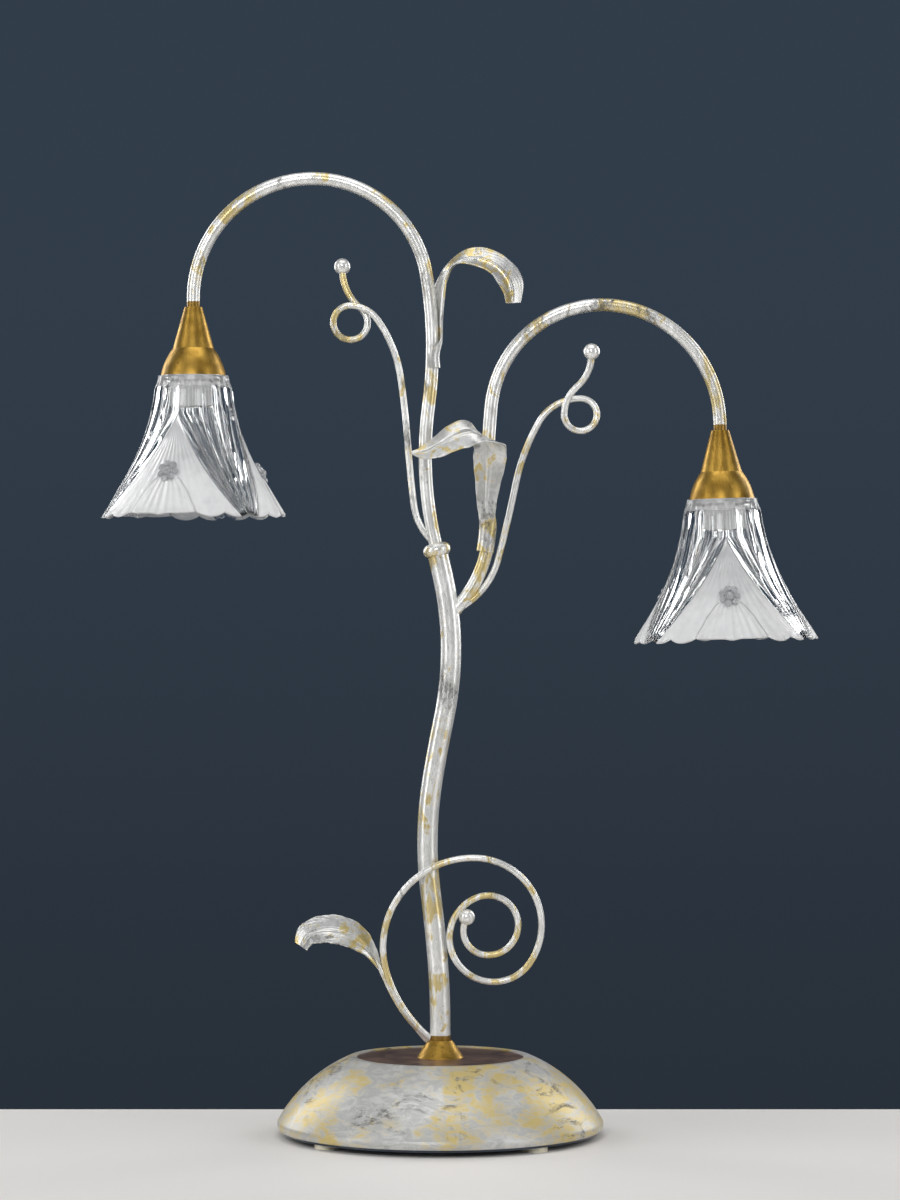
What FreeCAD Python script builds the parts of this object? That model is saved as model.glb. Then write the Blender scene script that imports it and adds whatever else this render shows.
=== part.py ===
import FreeCAD, Part
import math
import operator
import os
from types import SimpleNamespace

import Sketcher
from FreeCAD import Placement, Rotation, Vector

# Table lamp with two glass bell shades. Millimetres, +Z up, X to the right as seen from the front.
# The origin is the centre of the base on the table. Stem and arms lie in the plane Y = 0.

sizes = dict(
    # base, heights above the table
    padRadius=8, padThick=3, padInset=9.5, padTurn=40, padCount=4,
    coverInset=3, coverThick=1.6,
    domeRadius=100, domeArc=90.4, domeSheet=1.5, domeRoll=4.5, domeRollHeight=7.5, domeLip=48.5,
    domeArcDrop=35,
    lipWidth=4.3, discThick=1.2, discRecess=1.9, discClear=0.4,
    ballastInset=30, ballastSlope=24, ballastSlopeDrop=12, ballastRim=8, ballastRecess=28, ballastRoof=33,
    legRadius=7, legInset=12, legCount=3, legTurn=30,
    screwRadius=2, screwHead=3.9, screwHeadThick=1.5, screwLength=12, screwClear=0.3,
    earthBack=-26, earthWasher=5.5, earthWasherThick=1,
    # threaded rod and foot of the stem
    rodRadius=5, rodBore=3.3, rodLow=25.5, rodGrip=12, rodClear=0.3, nutHeight=4, nutRadius=8,
    washerRadius=12, washerThick=1.6, coneFoot=14.3, coneTop=7.5, coneHeight=10.4, coneSeat=4.2,
    # tubes and rods
    stemRadius=6.25, stemBore=4.6, armRadius=4, armBore=3, rodWire=2, ballRadius=5, tubeFit=0.05,
    # stem from its foot: straights in mm, bend radii in mm, sweeps in degrees
    stemFoot=14, stemBendA=506, stemSweepA=4.6, stemBendB=768, stemSweepB=2.9, stemBendC=244.7,
    stemSweepC=16.6, stemBendD=741, stemSweepD=2.9, stemBendE=205.5, stemSweepE=24.8, stemTop=16,
    collarRadius=8.5, collarHeight=8.5,
    # left arm, from the collar
    leftFoot=6, leftBendA=234, leftSweepA=20.4, leftBendB=270, leftSweepB=17.1, leftBendC=70.5,
    leftSweepC=81.6, leftBendD=73.4,
    # right arm, from inside the stem
    rightStartX=5.6, rightStartZ=317.6, rightHeading=50.2, rightFoot=12, rightBendA=71.9,
    rightSweepA=43.1, rightBendB=448, rightSweepB=9, rightBendC=68.5, rightSweepC=105,
    rightBendD=73.9, rightTilt=1.6, armEnd=5.5,
    # lamp head, depths below the end of the bend
    tubeInsert=12, nippleTop=3.4, nippleLength=33, headConeTop=5.5, headConeFoot=12.6,
    headConeLength=25.3, headWall=1.2, capRadius=20, capHeight=16.8,
    capBulge=40, holderRadius=13.4, holderWall=1.6, holderBelow=19, holderNeck=11,
    holderTop=4, bossRadius=7.5,
    bossLength=12, coreHeight=21, leadEntry=3,
    pinPitch=9, pinRadius=0.5, pinLength=6, slotRadius=1.4, slotSpare=1, contactRadius=1.3,
    bulbBaseWidth=14, bulbBaseDepth=7.6, bulbBaseHeight=10, bulbRadius=6.75, bulbLength=30,
    bulbWall=1, bulbClear=0.4, filamentRadius=0.9, filamentLength=16,
    ringClear=0.05, ringFlange=17.4, ringHub=15.2, ringThick=2.6, ringHeight=6, ringGap=0.2,
    # glass bell, depths below its top face
    glassNeck=21.6, glassRim=53.6, glassHeight=87, glassWall=3.2, glassTop=4, glassHoleClear=0.5,
    glassWaist=22.9, glassWaistDepth=16, glassFlare=34.9, glassFlareDepth=52.4, glassBend=147,
    scallopCount=24, scallopWidth=8, scallopDepth=2.2,
    # internal leads and terminal block
    leadRadius=1.2, leadSpread=1.4, leadTurn=5, leadRun=8, leadGrip=5, forkBend=10,
    blockLength=18, blockWidth=22, blockHeight=15, blockScrew=1.5, blockScrewHead=2.8,
    blockScrewGrip=6,
    # cable inlet
    inletHeight=14.5, inletBore=3.4, inletRadius=5.4, inletFlange=7.4, inletReach=2,
    inletDepth=14, inletSnap=6.4, inletSnapThick=2,
    # tendrils, scroll and leaf stalk
    tendrilPitch=7.4, scrollLean=3.8, scrollFront=1.5, stalkBack=1.2,
    # leaves
    leafThick=0.9, clipThick=0.9, clipLength=17, upperLeafAlong=112.4, lowerLeafAlong=46.5,
)

os.makedirs("parts", exist_ok=True)
doc = FreeCAD.newDocument("bell_shade_lamp")
sheet = doc.addObject("Spreadsheet::Sheet", "sizes")


# A size carries its number and the expression that gives it, so both always agree.
class Size:
    def __init__(self, value, text):
        self.value = value
        self.text = text

    def __add__(self, other):
        return combine(self, "+", other)

    def __sub__(self, other):
        return combine(self, "-", other)

    def __mul__(self, other):
        return combine(self, "*", other)

    def __truediv__(self, other):
        return combine(self, "/", other)


operations = {"+": operator.add, "-": operator.sub, "*": operator.mul, "/": operator.truediv}


def asSize(number):
    return number if isinstance(number, Size) else Size(number, str(number))


def combine(first, sign, second):
    a = asSize(first)
    b = asSize(second)
    return Size(operations[sign](a.value, b.value), f"({a.text} {sign} {b.text})")


def root(size):
    return Size(math.sqrt(size.value), f"sqrt({size.text})")


def square(size):
    return size * size


for row, (alias, number) in enumerate(sizes.items(), start=1):
    sheet.set(f"A{row}", alias)
    sheet.set(f"B{row}", str(number))
    sheet.setAlias(f"B{row}", alias)
doc.recompute()
s = SimpleNamespace(**{alias: Size(number, f"sizes.{alias}") for alias, number in sizes.items()})

nodes = []


def keep(label, thing):
    thing.Label = label
    nodes.append(thing)
    return thing


# ---------------------------------------------------------------- sketches and bodies


def addBody(name):
    return doc.addObject("PartDesign::Body", name)


def originPlane(body, role):
    return next(feature for feature in body.Origin.OriginFeatures if feature.Role == role)


def addSketch(body, name, role="XZ_Plane"):
    sketch = body.newObject("Sketcher::SketchObject", name)
    sketch.AttachmentSupport = [(originPlane(body, role), "")]
    sketch.MapMode = "FlatFace"
    return sketch


def bind(sketch, kind, places, size, unit="mm"):
    number = math.radians(size.value) if unit == "deg" else size.value
    index = sketch.addConstraint(Sketcher.Constraint(kind, *places, number))
    sketch.setExpression(f"Constraints[{index}]", f"{size.text} * 1 {unit}")


def pin(sketch, geometry, end, across, up):
    for kind, size, axis in (("DistanceX", asSize(across), -2), ("DistanceY", asSize(up), -1)):
        if size.text == "0":
            sketch.addConstraint(Sketcher.Constraint("PointOnObject", geometry, end, axis))
        else:
            bind(sketch, kind, (geometry, end), size)


# A closed outline through corners (across, up). A third entry bends the edge to the next corner
# into an arc of that radius; the fourth is 1 for an arc that turns left, -1 for one turning right.
def drawOutline(sketch, corners):
    ends = []
    for corner, after in zip(corners, corners[1:] + corners[:1]):
        start = Vector(asSize(corner[0]).value, asSize(corner[1]).value, 0)
        end = Vector(asSize(after[0]).value, asSize(after[1]).value, 0)
        if len(corner) == 2:
            ends.append((sketch.addGeometry(Part.LineSegment(start, end), False), 1, 2))
            continue
        radius, side = corner[2:]
        chord = end - start
        rise = math.sqrt(radius.value ** 2 - (chord.Length / 2) ** 2)
        normal = Vector(-chord.y, chord.x, 0).normalize()
        centre = (start + end) * 0.5 + normal * (side * rise)
        first = math.atan2(start.y - centre.y, start.x - centre.x)
        last = math.atan2(end.y - centre.y, end.x - centre.x)
        if side < 0:
            first, last = last, first
        circle = Part.Circle(centre, Vector(0, 0, 1), radius.value)
        arc = Part.ArcOfCircle(circle, first, last if last > first else last + 2 * math.pi)
        geometry = sketch.addGeometry(arc, False)
        ends.append((geometry, 1, 2) if side > 0 else (geometry, 2, 1))
    for index, corner in enumerate(corners):
        geometry, start, end = ends[index]
        previous = ends[index - 1]
        sketch.addConstraint(Sketcher.Constraint("Coincident", previous[0], previous[2], geometry, start))
        pin(sketch, geometry, start, corner[0], corner[1])
        if len(corner) > 2:
            bind(sketch, "Radius", (geometry,), corner[2])


def turn(name, *outlines):
    body = addBody(name)
    sketch = addSketch(body, f"{name}_profile")
    for corners in outlines:
        drawOutline(sketch, list(corners))
    turned = body.newObject("PartDesign::Revolution", f"{name}_turned")
    turned.Profile = sketch
    turned.ReferenceAxis = (sketch, ["V_Axis"])
    turned.Angle = 360
    return body


def ring(name, inner, outer, low, high):
    return turn(name, [(inner, low), (outer, low), (outer, high), (inner, high)])


def place(thing, across, back, up):
    for letter, size in (("x", across), ("y", back), ("z", up)):
        if isinstance(size, Size):
            thing.setExpression(f"Placement.Base.{letter}", f"{size.text} * 1 mm")


def cylinder(name, radius, height, across=0, back=0, up=0):
    post = doc.addObject("Part::Cylinder", name)
    post.setExpression("Radius", radius.text)
    post.setExpression("Height", height.text)
    place(post, across, back, up)
    return post


def block(name, length, width, height, across, up):  # centred front to back
    box = doc.addObject("Part::Box", name)
    box.setExpression("Length", length.text)
    box.setExpression("Width", width.text)
    box.setExpression("Height", height.text)
    place(box, across, width * -0.5, up)
    return box


def around(circle, index, count, start):
    angle = f"({start.text} + {index} * 360 / {count.text})"
    degrees = start.value + index * 360 / count.value
    across = Size(circle.value * math.cos(math.radians(degrees)), f"({circle.text} * cos({angle} * 1 deg))")
    back = Size(circle.value * math.sin(math.radians(degrees)), f"({circle.text} * sin({angle} * 1 deg))")
    return across, back


def fuse(name, *things):
    union = doc.addObject("Part::MultiFuse", name)
    union.Shapes = list(things)
    return union


def group(name, things):
    several = doc.addObject("Part::Compound", name)
    several.Links = list(things)
    return several


def cut(name, base, tool):
    rest = doc.addObject("Part::Cut", name)
    rest.Base = base
    rest.Tool = tool
    return rest


# ---------------------------------------------------------------- bent tubes


class Route:  # start point and heading in the XZ plane, then bends (radius, sweep, side) and straights
    def __init__(self, across, up, heading, steps):
        self.across = asSize(across)
        self.up = asSize(up)
        self.heading = asSize(heading)
        self.steps = steps


def follow(route):
    x, z = route.across.value, route.up.value
    heading = math.radians(route.heading.value)
    for length, sweep, side in route.steps:
        if side == 0:
            x += length.value * math.cos(heading)
            z += length.value * math.sin(heading)
            continue
        middle = (x - side * length.value * math.sin(heading), z + side * length.value * math.cos(heading))
        heading += side * math.radians(sweep.value)
        x = middle[0] + side * length.value * math.sin(heading)
        z = middle[1] - side * length.value * math.cos(heading)
    return x, z, heading


def drawRoute(sketch, route):
    x, z = route.across.value, route.up.value
    heading = math.radians(route.heading.value)
    lead = 10
    back = Vector(x - lead * math.cos(heading), z - lead * math.sin(heading), 0)
    guide = sketch.addGeometry(Part.LineSegment(back, Vector(x, z, 0)), True)
    pin(sketch, guide, 2, route.across, route.up)
    sketch.addConstraint(Sketcher.Constraint("Distance", guide, lead))
    bind(sketch, "Angle", (guide,), route.heading, "deg")
    previous = (guide, 2)
    for length, sweep, side in route.steps:
        if side == 0:
            end = Vector(x + length.value * math.cos(heading), z + length.value * math.sin(heading), 0)
            geometry = sketch.addGeometry(Part.LineSegment(Vector(x, z, 0), end), False)
            sketch.addConstraint(Sketcher.Constraint("Tangent", *previous, geometry, 1))
            bind(sketch, "Distance", (geometry,), length)
            x, z = end.x, end.y
            previous = (geometry, 2)
            continue
        radius = length.value
        centre = Vector(x - side * radius * math.sin(heading), z + side * radius * math.cos(heading), 0)
        first = math.atan2(z - centre.y, x - centre.x)
        last = first + side * math.radians(sweep.value)
        circle = Part.Circle(centre, Vector(0, 0, 1), radius)
        arc = Part.ArcOfCircle(circle, min(first, last), max(first, last))
        geometry = sketch.addGeometry(arc, False)
        start, end = (1, 2) if side > 0 else (2, 1)
        sketch.addConstraint(Sketcher.Constraint("Tangent", *previous, geometry, start))
        bind(sketch, "Radius", (geometry,), length)
        bind(sketch, "Angle", (geometry,), sweep, "deg")
        heading += side * math.radians(sweep.value)
        x = centre.x + radius * math.cos(last)
        z = centre.y + radius * math.sin(last)
        previous = (geometry, end)


def bentTube(name, route, outer, inner=None):
    body = addBody(name)
    path = addSketch(body, f"{name}_route")
    drawRoute(path, route)
    section = addSketch(body, f"{name}_section", "XY_Plane")
    section.AttachmentOffset = Placement(Vector(), Rotation(Vector(0, 1, 0), 90 - route.heading.value))
    section.setExpression("AttachmentOffset.Base.x", f"{route.across.text} * 1 mm")
    section.setExpression("AttachmentOffset.Base.z", f"{route.up.text} * 1 mm")
    section.setExpression("AttachmentOffset.Rotation.Angle", f"(90 - {route.heading.text}) * 1 deg")
    for radius in (outer, inner) if inner else (outer,):
        circle = section.addGeometry(Part.Circle(Vector(), Vector(0, 0, 1), radius.value), False)
        section.addConstraint(Sketcher.Constraint("Coincident", circle, 3, -1, 1))
        bind(section, "Radius", (circle,), radius)
    doc.recompute()
    tube = body.newObject("PartDesign::AdditivePipe", f"{name}_bent")
    tube.Profile = section
    tube.Spine = (path, [f"Edge{number + 1}" for number in range(len(path.Shape.Edges))])
    return body


def bend(radius, sweep, side):
    return (asSize(radius), asSize(sweep), side)


def straight(length):
    return (asSize(length), asSize(0), 0)


# A rod bent in space: each step is (radius, sweep, roll), where roll turns the bending plane about the
# rod before the bend and a negative sweep bends to the other side. A sweep of 0 is a straight.
def bendInSpace(start, along, towards, steps):
    edges = []
    for radius, sweep, roll in steps:
        towards = Rotation(along, roll).multVec(towards)
        if sweep == 0:
            edges.append(Part.makeLine(start, start + along * radius))
            start = start + along * radius
            continue
        side = 1 if sweep > 0 else -1
        centre = start + towards * (side * radius)
        axis = along.cross(towards)
        spoke = start - centre
        middle = centre + Rotation(axis, sweep / 2).multVec(spoke)
        end = centre + Rotation(axis, sweep).multVec(spoke)
        edges.append(Part.Arc(start, middle, end).toShape())
        start = end
        along = Rotation(axis, sweep).multVec(along)
        towards = Rotation(axis, sweep).multVec(towards)
    return Part.Wire(edges), start, along


def sweepWire(wire, start, along, radius):
    circle = Part.Wire(Part.makeCircle(radius, start, along))
    return wire.makePipeShell([circle], True, False)


def shapeFeature(name, shape):
    feature = doc.addObject("Part::Feature", name)
    feature.Shape = shape
    return feature


# ---------------------------------------------------------------- base

coverTop = s.padThick + s.coverThick
coverRadius = s.domeRadius - s.coverInset
padCircle = coverRadius - s.padInset
discSeat = s.domeLip - s.discRecess
discTop = discSeat + s.discThick
floorUnder = discSeat - s.domeSheet
ballastRadius = s.domeRadius - s.ballastInset
ballastShoulder = floorUnder - s.ballastSlopeDrop
legCircle = ballastRadius - s.legInset
stemSeat = discTop + s.coneHeight - s.coneSeat
rodHole = s.rodRadius + s.rodClear
screwHole = s.screwRadius + s.screwClear
blockFace = s.leadTurn + s.leadRun
blockLow = s.ballastRoof - s.blockHeight
leadLow = s.rodLow - s.leadTurn


def makeFeetAndCover():
    pads = []
    for index in range(int(s.padCount.value)):
        across, back = around(padCircle, index, s.padCount, s.padTurn)
        pads.append(cylinder(f"pad{index}", s.padRadius, s.padThick, across, back))
    keep("foot_pads", group("pads", pads))
    holes = []
    screws = []
    for index in range(int(s.legCount.value)):
        across, back = around(legCircle, index, s.legCount, s.legTurn)
        holes.append(cylinder(f"cover_hole{index}", screwHole, s.coverThick, across, back, s.padThick))
        headLow = s.padThick - s.screwHeadThick
        head = cylinder(f"screw_head{index}", s.screwHead, s.screwHeadThick, across, back, headLow)
        shank = cylinder(f"screw_shank{index}", s.screwRadius, s.screwLength, across, back, s.padThick)
        screws.append(fuse(f"screw{index}", head, shank))
    plate = cylinder("cover_plate", coverRadius, s.coverThick, up=s.padThick)
    keep("bottom_cover", cut("cover", plate, group("cover_holes", holes)))
    keep("cover_screws", group("screws", screws))


# The dome is one arc whose centre lies below the table, with a rolled edge tangent inside it.
rollX = s.domeRadius - s.domeRoll
centreX = rollX - root(square(s.domeArc - s.domeRoll) - square(s.domeRollHeight + s.domeArcDrop))


def onArc(radius, height):
    return centreX + root(square(radius) - square(height + s.domeArcDrop))


recessRadius = onArc(s.domeArc, s.domeLip) - s.lipWidth


def domeCorners():
    innerArc = s.domeArc - s.domeSheet
    innerRoll = s.domeRoll - s.domeSheet
    rollDrop = s.domeRollHeight - coverTop

    def tangentPoint(radius):
        reach = radius / (s.domeArc - s.domeRoll)
        return centreX + (rollX - centreX) * reach, (s.domeRollHeight + s.domeArcDrop) * reach - s.domeArcDrop

    outside = [
        (onArc(s.domeArc, s.domeLip), s.domeLip, s.domeArc, -1),
        (*tangentPoint(s.domeArc), s.domeRoll, -1),
        (rollX + root(square(s.domeRoll) - square(rollDrop)), coverTop),
    ]
    inside = [
        (rollX + root(square(innerRoll) - square(rollDrop)), coverTop, innerRoll, 1),
        (*tangentPoint(innerArc), innerArc, 1),
        (onArc(innerArc, floorUnder), floorUnder),
    ]
    return outside, inside


def makeDomeAndInlet():
    outside, inside = domeCorners()
    recess = [(rodHole, discSeat), (recessRadius, discSeat), (recessRadius, s.domeLip)]
    dome = turn("dome", recess + outside + inside + [(rodHole, floorUnder)])
    # The flange keeps only what lies outside the dome, so its inner face follows the slope.
    filled = turn("dome_filled", [(0, s.domeLip), *outside, (0, coverTop)])
    inner = s.domeRadius - s.inletDepth
    length = s.inletDepth + s.inletReach
    sleeve = cylinder("inlet_sleeve", s.inletRadius, length, 0, inner, s.inletHeight)
    flange = cylinder("inlet_flange", s.inletFlange, length, 0, inner, s.inletHeight)
    bore = cylinder("inlet_bore", s.inletBore, length, 0, inner, s.inletHeight)
    hole = cylinder("inlet_hole", s.inletRadius + s.tubeFit, length, 0, inner, s.inletHeight)
    snap = cylinder("inlet_snap", s.inletSnap, s.inletSnapThick, 0, inner, s.inletHeight)
    for post in (sleeve, flange, bore, hole, snap):
        post.Placement.Rotation = Rotation(Vector(1, 0, 0), -90)
    keep("base_dome", cut("dome_with_inlet", dome, hole))
    bushing = fuse("inlet_body", sleeve, snap, cut("inlet_rim", flange, filled))
    keep("inlet_bushing", cut("inlet", bushing, bore))


def makeBallast():
    rimFoot = ballastShoulder - s.ballastRim
    recess = ballastRadius - s.ballastRecess
    weight = turn("weight", [
        (rodHole, floorUnder), (ballastRadius - s.ballastSlope, floorUnder), (ballastRadius, ballastShoulder),
        (ballastRadius, rimFoot), (recess, rimFoot), (recess, s.ballastRoof), (rodHole, s.ballastRoof),
    ])
    legs = []
    holes = []
    for index in range(int(s.legCount.value)):
        across, back = around(legCircle, index, s.legCount, s.legTurn)
        legLength = ballastShoulder - coverTop
        legs.append(cylinder(f"leg{index}", s.legRadius, legLength, across, back, coverTop))
        bore = s.screwRadius + s.tubeFit
        holes.append(cylinder(f"leg_hole{index}", bore, s.screwLength, across, back, coverTop))
    bore = s.screwRadius + s.tubeFit
    holes.append(cylinder("earth_hole", bore, s.screwLength, 0, s.earthBack, s.ballastRoof))
    middle = blockFace + s.blockLength / 2
    bore = s.blockScrew + s.tubeFit
    holes.append(cylinder("block_hole", bore, s.blockScrewGrip + 1, middle, 0, s.ballastRoof))
    weightOnLegs = fuse("weight_with_legs", weight, *legs)
    keep("ballast", cut("weight_drilled", weightOnLegs, group("weight_holes", holes)))

    washerLow = s.ballastRoof - s.earthWasherThick
    washer = ring("earth_washer", s.screwRadius + s.tubeFit, s.earthWasher, washerLow, s.ballastRoof)
    washer.setExpression("Placement.Base.y", f"{s.earthBack.text} * 1 mm")
    head = cylinder("earth_head", s.screwHead, s.screwHeadThick, 0, s.earthBack, washerLow - s.screwHeadThick)
    grip = s.screwLength - s.earthWasherThick
    shank = cylinder("earth_shank", s.screwRadius, grip, 0, s.earthBack, washerLow)
    keep("earth_screw", group("earth", [washer, fuse("earth_bolt", head, shank)]))


def makeTerminalBlock():
    body = block("terminal_body", s.blockLength, s.blockWidth, s.blockHeight, blockFace, blockLow)
    middle = blockFace + s.blockLength / 2
    holes = [cylinder("terminal_hole", s.blockScrew + s.tubeFit, s.blockHeight, middle, 0, blockLow)]
    for side in (-1, 1):
        lane = cylinder(f"terminal_lane{side}", s.leadRadius + s.tubeFit, s.leadGrip, blockFace,
                        s.leadSpread * side, leadLow)
        lane.Placement.Rotation = Rotation(Vector(0, 1, 0), 90)
        holes.append(lane)
    keep("terminal_block", cut("terminal", body, group("terminal_holes", holes)))
    headLow = blockLow - s.screwHeadThick
    head = cylinder("block_screw_head", s.blockScrewHead, s.screwHeadThick, middle, 0, headLow)
    shank = cylinder("block_screw_shank", s.blockScrew, s.blockHeight + s.blockScrewGrip, middle, 0, blockLow)
    keep("block_screw", fuse("block_bolt", head, shank))


def makeClamp():
    keep("top_disc", ring("disc", rodHole, recessRadius - s.discClear, discSeat, discTop))
    seatRadius = s.stemRadius + s.tubeFit
    coneHigh = discTop + s.coneHeight
    keep("foot_cone", turn("foot_cone_body", [
        (rodHole, discTop), (s.coneFoot, discTop), (s.coneTop, coneHigh), (seatRadius, coneHigh),
        (seatRadius, stemSeat), (rodHole, stemSeat),
    ]))
    keep("threaded_rod", ring("rod", s.rodBore, s.rodRadius, s.rodLow, stemSeat + s.rodGrip))
    washerLow = s.ballastRoof - s.washerThick
    keep("rod_washer", ring("rod_washer_body", rodHole, s.washerRadius, washerLow, s.ballastRoof))
    nut = doc.addObject("Part::Prism", "nut_hexagon")
    nut.Polygon = 6
    nut.setExpression("Circumradius", s.nutRadius.text)
    nut.setExpression("Height", s.nutHeight.text)
    place(nut, 0, 0, washerLow - s.nutHeight)
    thread = cylinder("nut_thread", s.rodRadius + s.tubeFit, s.nutHeight, 0, 0, washerLow - s.nutHeight)
    keep("rod_nut", cut("nut", nut, thread))


# ---------------------------------------------------------------- stem and arms

stemBends = [
    straight(s.stemFoot), bend(s.stemBendA, s.stemSweepA, 1), bend(s.stemBendB, s.stemSweepB, 1),
    bend(s.stemBendC, s.stemSweepC, -1), bend(s.stemBendD, s.stemSweepD, -1),
    bend(s.stemBendE, s.stemSweepE, 1), straight(s.stemTop),
]
stemRoute = Route(0, stemSeat, 90, stemBends)
stemEnd = follow(stemRoute)
stemTurn = s.stemSweepA + s.stemSweepB - s.stemSweepC - s.stemSweepD + s.stemSweepE
leftSweepD = asSize(180) - stemTurn + s.leftSweepA - s.leftSweepB - s.leftSweepC
leftBends = [
    straight(s.leftFoot), bend(s.leftBendA, s.leftSweepA, -1), bend(s.leftBendB, s.leftSweepB, 1),
    bend(s.leftBendC, s.leftSweepC, 1), bend(s.leftBendD, leftSweepD, 1), straight(s.armEnd),
]
leftRoute = Route(stemEnd[0], stemEnd[1], math.degrees(stemEnd[2]), leftBends)
rightSweepD = s.rightHeading + s.rightSweepA - s.rightSweepB - s.rightSweepC + 90 - s.rightTilt
rightBends = [
    straight(s.rightFoot), bend(s.rightBendA, s.rightSweepA, 1), bend(s.rightBendB, s.rightSweepB, -1),
    bend(s.rightBendC, s.rightSweepC, -1), bend(s.rightBendD, rightSweepD, -1), straight(s.armEnd),
]
rightRoute = Route(s.rightStartX, s.rightStartZ, s.rightHeading, rightBends)


def extended(route, length):
    return Route(route.across, route.up, route.heading, [*route.steps, straight(length)])


def makeStemAndArms():
    tube = bentTube("stem_tube", stemRoute, s.stemRadius, s.stemBore)
    solid = bentTube("stem_solid", stemRoute, s.stemRadius)
    socket = cylinder("stem_socket", s.rodRadius + s.tubeFit, s.rodGrip, 0, 0, stemSeat)
    fork = cylinder("fork_bore", s.armBore, s.rightFoot * 2, s.rightStartX, 0, s.rightStartZ)
    fork.Placement.Rotation = Rotation(Vector(0, 1, 0), 90 - s.rightHeading.value)
    keep("stem", cut("stem_drilled", tube, group("stem_holes", [socket, fork])))

    leftTube = bentTube("left_arm_tube", extended(leftRoute, s.tubeInsert), s.armRadius, s.armBore)
    keep("left_arm", leftTube)
    rightTube = bentTube("right_arm_tube", extended(rightRoute, s.tubeInsert), s.armRadius, s.armBore)
    keep("right_arm", cut("right_arm_coped", rightTube, solid))
    rightSolid = bentTube("right_arm_solid", rightRoute, s.armRadius)

    half = s.collarHeight / 2
    bulge = s.collarRadius - half
    lowBore = s.stemRadius + s.tubeFit
    highBore = s.armRadius + s.tubeFit
    lip = root(square(half) - square(lowBore - bulge))
    collar = turn("collar_body", [
        (lowBore, lip * -1, half, 1), (s.collarRadius, 0, half, 1), (bulge, half),
        (highBore, half), (highBore, 0), (lowBore, 0),
    ])
    tilt = 90 - math.degrees(stemEnd[2])
    collar.Placement = Placement(Vector(stemEnd[0], 0, stemEnd[1]), Rotation(Vector(0, 1, 0), tilt))
    keep("collar", collar)
    return solid, collar, leftTube, rightSolid


# ---------------------------------------------------------------- lamp heads, in depths below the arm's end

capSeat = s.headConeLength
capFoot = capSeat + s.capHeight
holderLow = capFoot + s.holderBelow
coreHigh = holderLow - s.coreHeight
recessDepth = s.bulbBaseHeight + s.bulbClear


def headFrame(route, outward):
    x, z, heading = follow(route)
    return Placement(Vector(x, 0, z), Rotation(Vector(0, 1, 0), 180 - outward))


def makeFittings(side, frame):
    tubeHole = s.armRadius + s.tubeFit
    pieces = {}
    pieces["nipple"] = turn(f"{side}_nipple_body", [
        (tubeHole, s.nippleTop), (s.rodRadius, s.nippleTop), (s.rodRadius, s.nippleTop + s.nippleLength),
        (s.armBore, s.nippleTop + s.nippleLength), (s.armBore, s.tubeInsert), (tubeHole, s.tubeInsert),
    ])
    pieces["cone"] = turn(f"{side}_cone_body", [
        (tubeHole, 0), (s.headConeTop, 0), (s.headConeFoot, s.headConeLength),
        (s.headConeFoot - s.headWall, s.headConeLength), (rodHole, s.nippleTop), (tubeHole, s.nippleTop),
    ])
    wall = s.headWall
    pieces["cap"] = turn(f"{side}_cap_body", [
        (rodHole, capSeat), (s.headConeFoot, capSeat, s.capBulge, 1), (s.capRadius, capFoot),
        (s.capRadius - wall, capFoot, s.capBulge - wall, -1), (s.headConeFoot - wall, capSeat + wall),
        (rodHole, capSeat + wall),
    ])
    top = capSeat + wall
    threadHole = s.rodRadius + s.tubeFit
    inside = s.holderRadius - s.holderWall
    pieces["holder_shell"] = turn(f"{side}_holder_shell_body", [
        (threadHole, top), (s.holderNeck, top), (s.holderRadius, top + s.holderTop),
        (s.holderRadius, holderLow), (inside, holderLow), (inside, top + s.holderTop),
        (s.bossRadius, top + s.holderTop), (s.bossRadius, top + s.bossLength),
        (threadHole, top + s.bossLength),
    ])
    thread = s.holderRadius + s.ringClear
    ringTop = capFoot + s.glassTop + s.ringGap
    pieces["shade_ring"] = turn(f"{side}_shade_ring_body", [
        (thread, ringTop), (s.ringFlange, ringTop), (s.ringFlange, ringTop + s.ringThick),
        (s.ringHub, ringTop + s.ringThick), (s.ringHub, ringTop + s.ringHeight),
        (thread, ringTop + s.ringHeight),
    ])
    for name, piece in pieces.items():
        piece.Placement = frame
        keep(f"{side}_{name}", piece)


def makeHolderCore(side, frame, leadSide):
    name = f"{side}_core"
    core = cylinder(name, s.holderRadius - s.holderWall - s.tubeFit, s.coreHeight, 0, 0, coreHigh)
    width = s.bulbBaseWidth + s.bulbClear * 2
    holes = [block(f"{name}_recess", width, s.bulbBaseDepth + s.bulbClear * 2, recessDepth, width * -0.5,
                   holderLow - recessDepth)]
    contacts = []
    slotLength = s.pinLength + s.slotSpare
    slotHigh = holderLow - recessDepth - slotLength
    for pole, sign in (("a", -0.5), ("b", 0.5)):
        across = s.pinPitch * sign
        holes.append(cylinder(f"{name}_slot_{pole}", s.slotRadius, slotLength, across, 0, slotHigh))
        sleeve = cylinder(f"{side}_contact_{pole}", s.contactRadius, slotLength, across, 0, slotHigh)
        gap = cylinder(f"{side}_contact_gap_{pole}", s.pinRadius + s.tubeFit, slotLength, across, 0, slotHigh)
        contacts.append(cut(f"{side}_contact_tube_{pole}", sleeve, gap))
    entryRadius = s.leadRadius + s.tubeFit
    entry = cylinder(f"{name}_entry", entryRadius, s.leadEntry, 0, s.leadSpread * leadSide, coreHigh)
    drilled = cut(f"{name}_drilled", core, group(f"{name}_holes", [*holes, entry]))
    springs = group(f"{side}_contact_pair", contacts)
    drilled.Placement = frame
    springs.Placement = frame
    keep(f"{side}_holder_core", drilled)
    keep(f"{side}_contacts", springs)


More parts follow.
